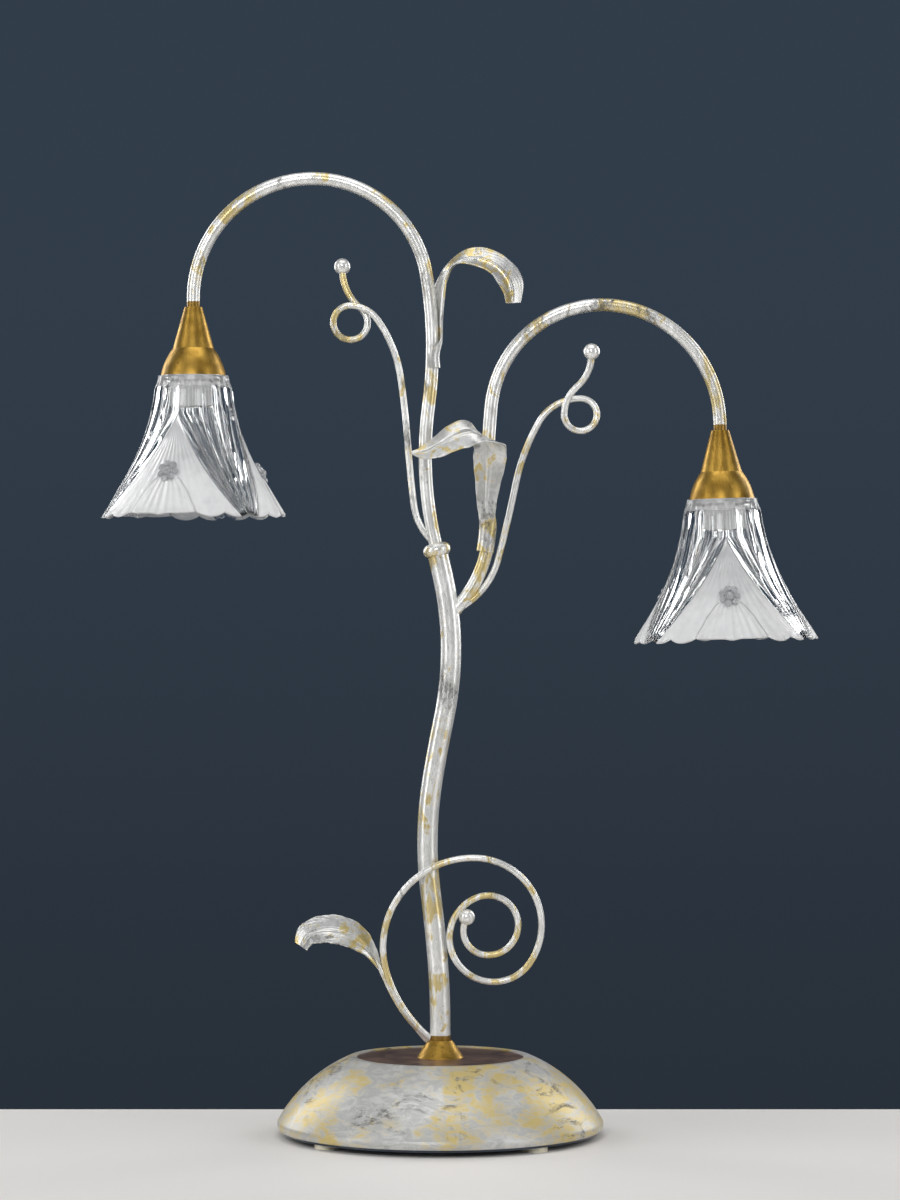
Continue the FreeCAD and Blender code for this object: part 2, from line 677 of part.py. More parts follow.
def makeBulb(side, frame):
    baseTop = holderLow - s.bulbBaseHeight
    base = block(f"{side}_bulb_foot", s.bulbBaseWidth, s.bulbBaseDepth, s.bulbBaseHeight,
                 s.bulbBaseWidth * -0.5, baseTop)
    pinTop = baseTop - s.pinLength
    pins = [cylinder(f"{side}_pin_{name}", s.pinRadius, s.pinLength, s.pinPitch * sign, 0, pinTop)
            for name, sign in (("a", -0.5), ("b", 0.5))]
    bore = s.bulbRadius - s.bulbWall
    low = holderLow + s.bulbLength
    shoulder = low - s.bulbRadius
    envelope = turn(f"{side}_envelope_body", [
        (0, holderLow), (s.bulbRadius, holderLow), (s.bulbRadius, shoulder, s.bulbRadius, 1), (0, low),
        (0, low - s.bulbWall, bore, -1), (bore, shoulder), (bore, holderLow + s.bulbWall),
        (0, holderLow + s.bulbWall),
    ])
    filament = cylinder(f"{side}_coil", s.filamentRadius, s.filamentLength, 0, 0, holderLow + s.bulbWall)
    parts = {
        "bulb_base": group(f"{side}_bulb_block", [base]),
        "bulb_pins": group(f"{side}_pin_pair", pins),
        "bulb_envelope": envelope,
        "bulb_filament": group(f"{side}_coil_group", [filament]),
    }
    for name, piece in parts.items():
        piece.Placement = frame
        keep(f"{side}_{name}", piece)


def makeGlass(side, frame):
    wall = s.glassWall
    hole = s.holderRadius + s.glassHoleClear
    shade = turn(f"{side}_bell", [
        (hole, 0), (s.glassNeck, 0), (s.glassWaist, s.glassWaistDepth, s.glassBend, -1),
        (s.glassFlare, s.glassFlareDepth), (s.glassRim, s.glassHeight), (s.glassRim - wall, s.glassHeight),
        (s.glassFlare - wall, s.glassFlareDepth, s.glassBend + wall, 1),
        (s.glassWaist - wall, s.glassWaistDepth), (s.glassNeck - wall, s.glassTop), (hole, s.glassTop),
    ])
    doc.recompute()
    plain = shade.Shape.Volume
    notch = addSketch(shade, f"{side}_rim_notch", "YZ_Plane")
    half = s.scallopWidth / 2
    base = s.glassHeight + 1
    drawOutline(notch, [(half * -1, base), (half, base), (0, s.glassHeight - s.scallopDepth)])
    pocket = shade.newObject("PartDesign::Pocket", f"{side}_rim_valley")
    pocket.Profile = notch
    pocket.Type = 1
    pocket.Reversed = True
    pattern = shade.newObject("PartDesign::PolarPattern", f"{side}_rim_scallops")
    pattern.Originals = [pocket]
    pattern.Axis = (next(f for f in shade.Origin.OriginFeatures if f.Role == "Z_Axis"), [""])
    pattern.Angle = 360
    pattern.setExpression("Occurrences", s.scallopCount.text)
    shade.Tip = pattern
    doc.recompute()
    print(side, "glass volume", round(plain), "scalloped", round(shade.Shape.Volume))
    shade.Placement = frame.multiply(Placement(Vector(0, 0, capFoot.value), Rotation()))
    keep(f"{side}_glass_shade", shade)


# ---------------------------------------------------------------- leads

toRod = [straight(s.leadRun + s.leadGrip), bend(s.leadTurn, 90, -1), straight(stemSeat - s.rodLow)]
leadStart = blockFace + s.leadGrip


# The right lead leaves the stem's centreline where one bend brings it onto the right arm's centreline.
def forkSteps():
    slope = math.radians(s.rightHeading.value)
    low = 0
    high = s.stemSweepE.value
    for attempt in range(60):
        sweep = (low + high) / 2
        rise = Route(0, stemSeat, 90, [*stemBends[:5], bend(s.stemBendE, sweep, 1)])
        x, z, heading = follow(rise)
        turned = bend(s.forkBend, math.degrees(heading - slope), -1)
        x, z, heading = follow(Route(x, z, math.degrees(heading), [turned]))
        across = x - s.rightStartX.value
        up = z - s.rightStartZ.value
        if across * math.sin(slope) - up * math.cos(slope) > 0:
            low = sweep
        else:
            high = sweep
    along = across * math.cos(slope) + up * math.sin(slope)
    return [*stemBends[:5], bend(s.stemBendE, sweep, 1), turned, straight(s.rightFoot - along)]


def makeLeads():
    reach = straight(coreHigh + s.leadEntry)
    leftSteps = [*toRod, *stemBends, *leftBends, reach]
    rightSteps = [*toRod, *forkSteps(), *rightBends[1:], reach]
    for side, steps, sign in (("left", leftSteps, -1), ("right", rightSteps, 1)):
        lead = bentTube(f"{side}_lead_wire", Route(leadStart, leadLow, 180, steps), s.leadRadius)
        lead.Placement.Base = Vector(0, s.leadSpread.value * sign, 0)
        keep(f"{side}_lead", lead)


# ---------------------------------------------------------------- tendrils and scroll


# Directions in the plane of a bent rod: heading in degrees, the plane leaning forward by lean degrees.
def rodDirections(heading, lean=0):
    across = math.cos(math.radians(heading))
    rise = math.sin(math.radians(heading))
    tip = math.radians(lean)
    along = Vector(across, -rise * math.sin(tip), rise * math.cos(tip))
    towards = Vector(-rise, -across * math.sin(tip), across * math.cos(tip))
    return along, towards


# A bent rod with a ball on its tip; the ball is brazed on, so it keeps clear of the rod's own metal.
def ballTippedRod(start, heading, lean, steps):
    along, towards = rodDirections(heading, lean)
    wire, tip, out = bendInSpace(start, along, towards, steps)
    rod = sweepWire(wire, start, along, s.rodWire.value)
    ball = Part.makeSphere(s.ballRadius.value, tip + out * (s.ballRadius.value * 0.8)).cut(rod)
    return rod, ball


def makeTendrils(stemSolid, collar, leftTube, rightSolid):
    pitch = s.tendrilPitch.value
    leftSteps = [
        (37, -38, 0), (800, -2.9, 0), (530, 4.1, 0), (82, 26.9, 0), (20.8, 53.1, 0), (10.5, 180, -pitch),
        (10.5, 102, -2 * pitch), (12.8, 39.7, 0), (30.9, -46.8, 0),
    ]
    start = Vector(stemEnd[0] - 3.5, 0, stemEnd[1] + 6.1)
    rod, ball = ballTippedRod(start, 135.1, 0, leftSteps)
    rod = rod.cut(collar.Shape).cut(leftTube.Shape)
    keep("left_tendril", shapeFeature("left_tendril_rod", max(rod.Solids, key=lambda solid: solid.Volume)))
    keep("left_tendril_ball", shapeFeature("left_tendril_tip", ball.Solids[0]))
    rightSteps = [
        (47.5, 45.5, 0), (745, 3.6, 0), (133, -17.8, 0), (28.7, -55.6, 0), (2.2, 0, 0), (10.1, -180, -pitch),
        (10.1, -98, -2 * pitch), (23.8, -46, 0), (24.6, 45.6, 0),
    ]
    start = Vector(s.rightStartX.value + 7.3, 0, s.rightStartZ.value + 6)
    rod, ball = ballTippedRod(start, 29.5, 0, rightSteps)
    rod = rod.cut(stemSolid.Shape).cut(rightSolid.Shape)
    keep("right_tendril", shapeFeature("right_tendril_rod", max(rod.Solids, key=lambda solid: solid.Volume)))
    keep("right_tendril_ball", shapeFeature("right_tendril_tip", ball.Solids[0]))


def makeScroll(stemSolid, footCone):
    steps = [
        (5, 0, 0), (83.7, -32, 0), (55.3, -107.3, 0), (41.5, -122.3, 0), (27, -213.8, 0), (18.4, -206.4, 0),
        (14.9, -105.3, 0),
    ]
    start = Vector(-4.05, -s.scrollFront.value, stemSeat.value + 3.5)
    rod, ball = ballTippedRod(start, 138.6, s.scrollLean.value, steps)
    rod = rod.cut(stemSolid.Shape).cut(footCone.Shape)
    keep("scroll_ball", shapeFeature("scroll_tip", ball.Solids[0]))
    return keep("scroll", shapeFeature("scroll_rod", max(rod.Solids, key=lambda solid: solid.Volume)))


# ---------------------------------------------------------------- leaves


# One value between two of a row, on the smooth curve that runs through them and their neighbours.
def between(row, index, part):
    before = row[max(index - 1, 0)]
    start = row[index]
    end = row[index + 1]
    after = row[min(index + 2, len(row) - 1)]
    leaving = (end - before) * 0.5
    arriving = (after - start) * 0.5
    second = part ** 2
    third = part ** 3
    return (start * (2 * third - 3 * second + 1) + leaving * (third - 2 * second + part)
            + end * (3 * second - 2 * third) + arriving * (third - second))


def smoothed(stations, steps):
    centres, widths, halves, folds = zip(*stations)
    columns = [centres, [Vector(*width) for width in widths], halves, folds]
    fine = [tuple(between(column, index, step / steps) for column in columns)
            for index in range(len(stations) - 1) for step in range(steps)]
    return [*fine, tuple(column[-1] for column in columns)]


# A folded sheet-metal blade through stations (centre, width direction, half width, fold height).
def leafBlade(stations):
    thick = s.leafThick.value
    stations = smoothed(stations, 3)
    centres = [station[0] for station in stations]
    wires = []
    for index, (centre, width, half, fold) in enumerate(stations):
        ahead = centres[min(index + 1, len(centres) - 1)] - centres[max(index - 1, 0)]
        along = ahead.normalize()
        width = (width - along * width.dot(along)).normalize()
        up = along.cross(width)
        near = centre - width * half + up * fold
        far = centre + width * half + up * fold
        points = [near, centre, far, far + up * thick, centre + up * thick, near + up * thick]
        wires.append(Part.makePolygon([*points, near]))
    return Part.makeLoft(wires, True, True)


# The point and heading at a distance along a route.
def alongRoute(route, distance):
    steps = []
    for length, sweep, side in route.steps:
        run = length.value * math.radians(sweep.value) if side else length.value
        share = min(distance / run, 1)
        steps.append((length, sweep * share, side) if side else (length * share, sweep, side))
        distance -= run
        if distance <= 0:
            break
    x, z, heading = follow(Route(route.across, route.up, route.heading, steps))
    return Vector(x, 0, z), Vector(math.cos(heading), 0, math.sin(heading))


# Half a tube hugging an arm, open towards the side given by back.
def leafClip(base, along, back):
    inner = s.armRadius.value
    outer = inner + s.clipThick.value
    length = s.clipLength.value
    clip = Part.makeCylinder(outer, length, base, along).cut(Part.makeCylinder(inner, length, base, along))
    half = Part.makeBox(4 * outer, 2 * outer, length)
    turned = Rotation(back.cross(along), back, along, "ZYX")
    half.Placement = Placement(base - turned.multVec(Vector(2 * outer, 0, 0)), turned)
    return clip.cut(half)


# A leaf whose foot is bent round an arm; what the arm's own metal fills is taken away.
def clippedLeaf(label, stations, route, distance, back, arm):
    base, along = alongRoute(route, distance)
    placed = [(base + Vector(*centre), width, half, fold) for centre, width, half, fold in stations]
    whole = leafBlade(placed).fuse(leafClip(base, along, back)).cut(arm)
    keep(label, shapeFeature(f"{label}_blade", max(whole.Solids, key=lambda solid: solid.Volume)))


def makeLeaves(leftTube, rightSolid, scroll):
    # Centres are measured from the foot of the clip, and for the base leaf from the foot of the stem.
    upper = [
        ((5.8, -0.5, 13.8), (-0.3, 0.95, 0), 3.2, 0.3), ((6.2, -0.5, 28.2), (-0.35, 0.93, 0), 5.5, 2),
        ((6.8, -1, 41.7), (-0.4, 0.9, 0), 8.5, 3), ((8.7, -1, 52.7), (-0.3, 0.95, 0.1), 8.8, 3),
        ((14.2, -2, 62.9), (0, 0.95, 0.3), 8.3, 2.5), ((26.5, -3, 66.6), (0, 0.72, 0.7), 8.6, 2.2),
        ((39.3, -4, 61.8), (0.35, 0.65, 0.68), 9.3, 2.2), ((47.3, -5, 51.5), (0.65, 0.6, 0.45), 9.2, 2),
        ((49.1, -5.5, 40.5), (0.8, 0.6, 0.1), 5.5, 1),
    ]
    lower = [
        ((-0.1, -4.4, 10.5), (-1, 0, 0), 4.6, 0.1), ((0, -6, 20.8), (-1, 0, 0), 5, 0.5),
        ((0.2, -6.8, 31.8), (-1, 0, 0), 6.3, 1.2), ((1.1, -8.5, 45.3), (-1, 0, 0), 8.3, 2),
        ((2, -11, 57.5), (-1, 0, 0), 10, 2), ((2.2, -15.5, 65.5), (-0.97, 0.1, 0.2), 10.1, 2),
        ((-1.3, -21, 70), (-0.85, 0.3, 0.45), 10, 2), ((-9.3, -24.5, 73), (-0.55, 0.5, 0.7), 10.3, 2),
        ((-19.1, -26, 70.5), (-0.35, 0.55, 0.76), 10, 2),
        ((-29.5, -26.5, 64.5), (-0.32, 0.57, 0.76), 8, 2),
        ((-38.1, -26, 60.5), (-0.3, 0.57, 0.76), 5, 1), ((-45.5, -25, 60), (-0.3, 0.57, 0.76), 1.2, 0.2),
    ]
    base = [
        ((-37.4, 0.9, 48.4), (-0.73, -0.62, -0.27), 1.6, 0.3),
        ((-42.9, 0.5, 57.6), (-0.62, -0.62, -0.47), 5, 1),
        ((-50.9, 0, 65.6), (-0.43, -0.62, -0.65), 9.5, 2),
        ((-60.1, -0.5, 70.2), (-0.23, -0.62, -0.74), 10.5, 2),
        ((-70.5, -1, 71.4), (0, -0.62, -0.78), 10, 2), ((-80.3, -1, 68.6), (0.39, -0.62, -0.66), 8.5, 2),
        ((-84.6, -1, 61.9), (0.74, -0.62, -0.23), 5.5, 1),
    ]
    clippedLeaf("upper_leaf", upper, leftRoute, s.upperLeafAlong.value, Vector(-0.8, 0.6, 0), leftTube.Shape)
    lowerSide = Vector(0.3, 0.95, 0)
    clippedLeaf("lower_leaf", lower, rightRoute, s.lowerLeafAlong.value, lowerSide, rightSolid.Shape)

    # The base leaf sits on a rod that runs down beside the scroll to the foot of the stem.
    foot = Vector(0, 0, stemSeat.value)
    start = foot + Vector(-9.5, s.stalkBack.value, 6)
    along, towards = rodDirections(130)
    wire, tip, out = bendInSpace(start, along, towards, [(17, 0, 0), (100, -21, 0)])
    stalk = sweepWire(wire, start, along, s.rodWire.value)
    placed = [(foot + Vector(*centre), width, half, fold) for centre, width, half, fold in base]
    blade = leafBlade(placed).fuse(stalk).cut(scroll.Shape)
    keep("base_leaf", shapeFeature("base_leaf_blade", max(blade.Solids, key=lambda solid: solid.Volume)))


# ---------------------------------------------------------------- build, test and write

makeFeetAndCover()
makeDomeAndInlet()
makeBallast()
makeTerminalBlock()
makeClamp()
stemSolid, collar, leftTube, rightSolid = makeStemAndArms()
frames = {"left": headFrame(leftRoute, 0), "right": headFrame(rightRoute, s.rightTilt.value)}
for side, leadSide in (("left", -1), ("right", 1)):
    makeFittings(side, frames[side])
    makeHolderCore(side, frames[side], leadSide)
    makeBulb(side, frames[side])
    makeGlass(side, frames[side])
makeLeads()
doc.recompute()
makeTendrils(stemSolid, collar, leftTube, rightSolid)
scroll = makeScroll(stemSolid, doc.getObjectsByLabel("foot_cone")[0])
makeLeaves(leftTube, rightSolid, scroll)
doc.recompute()

for thing in doc.Objects:
    if "Invalid" in thing.State or "Error" in thing.State:
        raise RuntimeError(f"{thing.Label} failed to compute: {thing.State}")
for node in nodes:
    if node.Shape.isNull() or not node.Shape.isValid():
        raise RuntimeError(f"{node.Label} has no valid shape")
for node in nodes:
    node.Shape.exportStep(f"parts/{node.Label}.step")
    box = node.Shape.BoundBox
    print(f"{node.Label}: {len(node.Shape.Solids)} solids, {node.Shape.Volume / 1000:.2f} cm3, "
          f"x {box.XMin:.1f}..{box.XMax:.1f} y {box.YMin:.1f}..{box.YMax:.1f} "
          f"z {box.ZMin:.1f}..{box.ZMax:.1f}")
for side, frame in frames.items():
    print(side, "head at", frame.Base, "axis", frame.Rotation.multVec(Vector(0, 0, 1)))
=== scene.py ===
import math
import bpy
import numpy as np
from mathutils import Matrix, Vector


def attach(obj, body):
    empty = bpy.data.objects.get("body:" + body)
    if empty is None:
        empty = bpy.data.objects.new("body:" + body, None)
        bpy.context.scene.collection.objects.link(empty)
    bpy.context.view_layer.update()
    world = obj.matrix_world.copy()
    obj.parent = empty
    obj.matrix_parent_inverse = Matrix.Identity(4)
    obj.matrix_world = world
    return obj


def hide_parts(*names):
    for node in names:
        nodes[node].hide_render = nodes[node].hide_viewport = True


# Dressed model of a two-armed table lamp with pressed glass bell shades. Metres, +Z up, seen along +Y.

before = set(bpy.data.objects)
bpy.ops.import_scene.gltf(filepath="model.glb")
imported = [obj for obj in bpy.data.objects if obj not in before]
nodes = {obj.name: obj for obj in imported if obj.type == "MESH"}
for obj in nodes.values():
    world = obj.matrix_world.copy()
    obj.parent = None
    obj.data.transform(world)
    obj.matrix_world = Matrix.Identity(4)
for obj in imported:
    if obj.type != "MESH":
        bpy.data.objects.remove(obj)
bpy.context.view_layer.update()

photo = dict(eye=(0.006, -2.34, 0.328), lens=114.5)  # the eye in metres, the lens in millimetres


def addCamera():
    lens = bpy.data.cameras.new("photoCamera")
    lens.lens = photo["lens"]
    camera = bpy.data.objects.new("photoCamera", lens)
    camera.location = photo["eye"]
    camera.rotation_euler = (math.pi / 2, 0, 0)
    bpy.context.scene.collection.objects.link(camera)
    bpy.context.scene.camera = camera


addCamera()
print("camera placed")


def newMaterial(name):
    material = bpy.data.materials.new(name)
    material.use_nodes = True
    material.node_tree.nodes.clear()
    return material


# Adds a node to a tree. Settings are the node's own fields; inputs map a socket's name or number to a
# plain value or to another node's output.
def addNode(tree, kind, inputs=None, **settings):
    node = tree.nodes.new(f"ShaderNode{kind}")
    for field, value in settings.items():
        setattr(node, field, value)
    for key, value in (inputs or {}).items():
        if isinstance(value, bpy.types.NodeSocket):
            tree.links.new(value, node.inputs[key])
        else:
            node.inputs[key].default_value = value
    return node


def colour(red, green, blue):
    return (red, green, blue, 1)


def objectPlace(tree, stretch=(1, 1, 1), turn=(0, 0, 0), shift=(0, 0, 0)):
    place = addNode(tree, "TexCoord").outputs["Object"]
    return addNode(tree, "Mapping", {"Vector": place, "Scale": stretch, "Rotation": turn,
                                     "Location": shift}).outputs[0]


def noise(tree, place, scale, detail=4, rough=0.55, twist=0):
    node = addNode(tree, "TexNoise", {"Vector": place, "Scale": scale, "Detail": detail, "Roughness": rough,
                                      "Distortion": twist})
    return node.outputs["Fac"]


# The value carried from low..high to start..end, clamped.
def between(tree, value, low, high, start=0, end=1):
    return addNode(tree, "MapRange", {"Value": value, "From Min": low, "From Max": high, "To Min": start,
                                      "To Max": end}, clamp=True, interpolation_type="SMOOTHSTEP").outputs[0]


def times(tree, first, second):
    return addNode(tree, "Math", {0: first, 1: second}, operation="MULTIPLY").outputs[0]


def plus(tree, first, second):
    return addNode(tree, "Math", {0: first, 1: second}, operation="ADD").outputs[0]


def blendColour(tree, amount, first, second):
    return addNode(tree, "Mix", {0: amount, 6: first, 7: second}, data_type="RGBA").outputs[2]


def bump(tree, height, strength, distance=0.001):
    return addNode(tree, "Bump", {"Height": height, "Strength": strength, "Distance": distance}).outputs[0]


def finishWith(tree, **inputs):
    names = {"base": "Base Color", "metal": "Metallic", "rough": "Roughness", "normal": "Normal",
             "ior": "IOR", "clear": "Transmission Weight", "coat": "Coat Weight",
             "specular": "Specular IOR Level"}
    shader = addNode(tree, "BsdfPrincipled", {names[key]: value for key, value in inputs.items()})
    addNode(tree, "OutputMaterial", {"Surface": shader.outputs[0]})


goldPaint = dict(light=colour(0.50, 0.30, 0.06), mid=colour(0.28, 0.16, 0.026),
                 dark=colour(0.08, 0.042, 0.010))
agedSilver = dict(silver=colour(0.60, 0.60, 0.58), pale=colour(0.78, 0.78, 0.765),
                  yellow=colour(0.62, 0.47, 0.13), grey=colour(0.12, 0.115, 0.105),
                  black=colour(0.02, 0.018, 0.016))
# Where the silver is gilded, as a centre and a reach: both arm ends and the foot of the stem.
gilded = ((-0.15133, 0, 0.50747, 0.0055), (0.17157, 0, 0.43198, 0.0055), (0, 0, 0.0572, 0.0077))


# Silver paint brushed over a darker ground, with gold-yellow patches, grey smudges and short dark scratches.
def silverPaint(name, stretch, turn, yellowFrom, yellowSoftness, smudgeFrom, patch, metal, rough, lightShadeTone):
    look = agedSilver
    # Painted light and shade: the tone scales this one silver paint, brighter on the tubes and balls and
    # darker on the dome.
    silver, pale = (colour(*(lightShadeTone * part for part in look[key][:3])) for key in ("silver", "pale"))
    material = newMaterial(name)
    tree = material.node_tree
    plain = objectPlace(tree)
    strokes = objectPlace(tree, stretch, turn)
    broad = noise(tree, plain, patch, 3, 0.6, 0.8)
    brushed = noise(tree, strokes, 90, 6, 0.65, 1.2)
    fine = noise(tree, strokes, 420, 5, 0.6, 0.4)
    grain = noise(tree, plain, 1900, 2, 0.5)
    paint = blendColour(tree, between(tree, brushed, 0.4, 0.62), silver, pale)
    yellowSoft = between(tree, plus(tree, times(tree, broad, 0.6), times(tree, brushed, 0.4)),
                         yellowFrom, yellowFrom + yellowSoftness)
    yellowBroken = times(tree, yellowSoft, between(tree, brushed, 0.4, 0.56, 0.5, 1))
    paint = blendColour(tree, times(tree, yellowBroken, 0.85), paint, look["yellow"])
    smudge = noise(tree, objectPlace(tree, stretch, turn, (3.1, 1.7, 0.9)), 34, 7, 0.72, 1.6)
    worn = noise(tree, objectPlace(tree, (1, 1, 1), (0, 0, 0), (5.3, 0.4, 2.2)), patch * 1.1, 2, 0.5)
    smudgeAmount = times(tree, between(tree, smudge, smudgeFrom, smudgeFrom + 0.12),
                         between(tree, worn, 0.5, 0.6, 0.08, 1))
    greyed = times(tree, smudgeAmount, between(tree, fine, 0.3, 0.6, 0.2, 0.85))
    paint = blendColour(tree, greyed, paint, look["grey"])
    scratchPlace = objectPlace(tree, tuple(2 * size for size in stretch), turn, (0.7, 2.3, 5.1))
    scratch = noise(tree, scratchPlace, 60, 4, 0.7, 2.5)
    scratches = times(tree, between(tree, scratch, 0.6, 0.66), smudgeAmount)
    paint = blendColour(tree, times(tree, scratches, 0.8), paint, look["black"])
    for x, y, z, reach in gilded:
        away = addNode(tree, "VectorMath", {0: plain, 1: (x, y, z)}, operation="DISTANCE").outputs["Value"]
        ragged = plus(tree, away, times(tree, brushed, 0.0006))
        paint = blendColour(tree, between(tree, ragged, reach, reach + 0.0002, 1, 0), paint, goldPaint["mid"])
    roughness = plus(tree, between(tree, fine, 0.3, 0.7, rough, rough + 0.1), times(tree, smudgeAmount, 0.15))
    dents = plus(tree, times(tree, grain, 0.25), times(tree, scratches, -0.8))
    height = plus(tree, times(tree, fine, 0.7), dents)
    finishWith(tree, base=paint, metal=metal, rough=roughness, normal=bump(tree, height, 0.16, 0.0003))
    return material


# Gold-bronze lacquer brushed over brown, with a fine metallic grain.
def makeGold(name, wear):
    look = goldPaint
    material = newMaterial(name)
    tree = material.node_tree
    plain = objectPlace(tree)
    streaks = noise(tree, objectPlace(tree, (1, 1, 0.25)), 160, 6, 0.7, 0.8)
    cloud = noise(tree, plain, 70, 4, 0.6, 0.5)
    grain = noise(tree, plain, 2600, 2, 0.6)
    paint = blendColour(tree, between(tree, plus(tree, times(tree, cloud, 0.6), times(tree, streaks, 0.4)),
                                      0.4, 0.62), look["light"], look["mid"])
    rubbed = noise(tree, objectPlace(tree, (1, 1, 0.5), (0.4, 0.3, 0)), 240, 5, 0.7, 2)
    worn = between(tree, rubbed, wear, wear + 0.1)
    paint = blendColour(tree, times(tree, worn, 0.75), paint, look["dark"])
    paint = blendColour(tree, times(tree, between(tree, grain, 0.5, 0.75), 0.25), paint, look["light"])
    roughness = plus(tree, between(tree, streaks, 0.3, 0.7, 0.26, 0.4), times(tree, worn, 0.15))
    height = plus(tree, times(tree, grain, 0.5), times(tree, streaks, 0.5))
    finishWith(tree, base=paint, metal=1, rough=plus(tree, roughness, 0.08),
               normal=bump(tree, height, 0.25, 0.0002))
    return material


copperDisc = dict(base=colour(0.15, 0.086, 0.06), light=colour(0.27, 0.17, 0.125),
                  scratch=colour(0.5, 0.38, 0.31))


# Brown-copper lacquer, turned in rings, with light fine scratches.
def makeCopperDisc():
    look = copperDisc
    material = newMaterial("copperDisc")
    tree = material.node_tree
    plain = objectPlace(tree)
    cloud = noise(tree, plain, 45, 5, 0.6, 0.6)
    flat = objectPlace(tree, (1, 1, 0))
    radius = addNode(tree, "VectorMath", {0: flat}, operation="LENGTH").outputs["Value"]
    rings = addNode(tree, "Math", {0: times(tree, radius, 5200)}, operation="SINE").outputs[0]
    paint = blendColour(tree, between(tree, cloud, 0.35, 0.68), look["base"], look["light"])
    hair = noise(tree, objectPlace(tree, (1, 0.06, 1), (0, 0, 0.6)), 520, 2, 0.5, 0.3)
    other = noise(tree, objectPlace(tree, (0.05, 1, 1), (0, 0, -0.35)), 480, 2, 0.5, 0.3)
    hairs = plus(tree, between(tree, hair, 0.7, 0.76), between(tree, other, 0.71, 0.76))
    paint = blendColour(tree, times(tree, hairs, 0.5), paint, look["scratch"])
    height = plus(tree, times(tree, rings, 0.1), times(tree, cloud, 0.5))
    finishWith(tree, base=paint, metal=0.55, rough=between(tree, cloud, 0.3, 0.7, 0.27, 0.42),
               normal=bump(tree, height, 0.2, 0.0003))
    return material


# Plain finishes share one recipe: a colour clouded by noise, a roughness that follows it and a fine grain.
def clouded(name, first, second, scale, rough, metal=0, grain=0.15, coat=0):
    material = newMaterial(name)
    tree = material.node_tree
    plain = objectPlace(tree)
    cloud = noise(tree, plain, scale, 5, 0.6, 0.4)
    speck = noise(tree, plain, 1400, 2, 0.5)
    paint = blendColour(tree, between(tree, cloud, 0.3, 0.7), first, second)
    finishWith(tree, base=paint, metal=metal, coat=coat,
               rough=between(tree, cloud, 0.25, 0.75, rough - 0.06, rough + 0.06),
               normal=bump(tree, plus(tree, speck, times(tree, cloud, 0.4)), grain, 0.0003))
    return material


# Brushed steel: fine lines along one way of the piece over a cloudy grey.
def makeSteel():
    material = newMaterial("brushedSteel")
    tree = material.node_tree
    lines = noise(tree, objectPlace(tree, (1, 1, 14)), 260, 4, 0.6)
    paint = blendColour(tree, lines, colour(0.42, 0.42, 0.43), colour(0.66, 0.66, 0.67))
    finishWith(tree, base=paint, metal=0.95, rough=between(tree, lines, 0.3, 0.7, 0.25, 0.42),
               normal=bump(tree, lines, 0.2, 0.0002))
    return material


# Pressed glass that is clear between its flowers and etched white on them, from the attribute "frost".
def makeShadeGlass():
    material = newMaterial("shadeGlass")
    tree = material.node_tree
    frost = addNode(tree, "Attribute", attribute_name="frost").outputs["Fac"]
    plain = objectPlace(tree)
    etched = noise(tree, plain, 2400, 3, 0.6)
    cloud = noise(tree, plain, 120, 4, 0.55)
    amount = times(tree, frost, between(tree, cloud, 0.2, 0.6, 0.86, 1))
    clear = addNode(tree, "BsdfPrincipled", {"Base Color": colour(0.985, 0.99, 0.99), "Roughness": 0.015,
                                             "IOR": 1.5, "Transmission Weight": 1.0})
    white = addNode(tree, "BsdfPrincipled", {"Base Color": colour(0.97, 0.975, 0.98), "Roughness": 0.42,
                                             "IOR": 1.45, "Transmission Weight": 0.36,
                                             "Normal": bump(tree, etched, 0.3, 0.0002)})
    mixed = addNode(tree, "MixShader", {0: amount, 1: clear.outputs[0], 2: white.outputs[0]})
    addNode(tree, "OutputMaterial", {"Surface": mixed.outputs[0]})
    return material


def makeClearGlass(name, tint, ior, clear):
    material = newMaterial(name)
    tree = material.node_tree
    wave = noise(tree, objectPlace(tree), 180, 2, 0.5)
    finishWith(tree, base=tint, rough=0.02, ior=ior, clear=clear,
               normal=bump(tree, wave, 0.04, 0.0003))
    return material
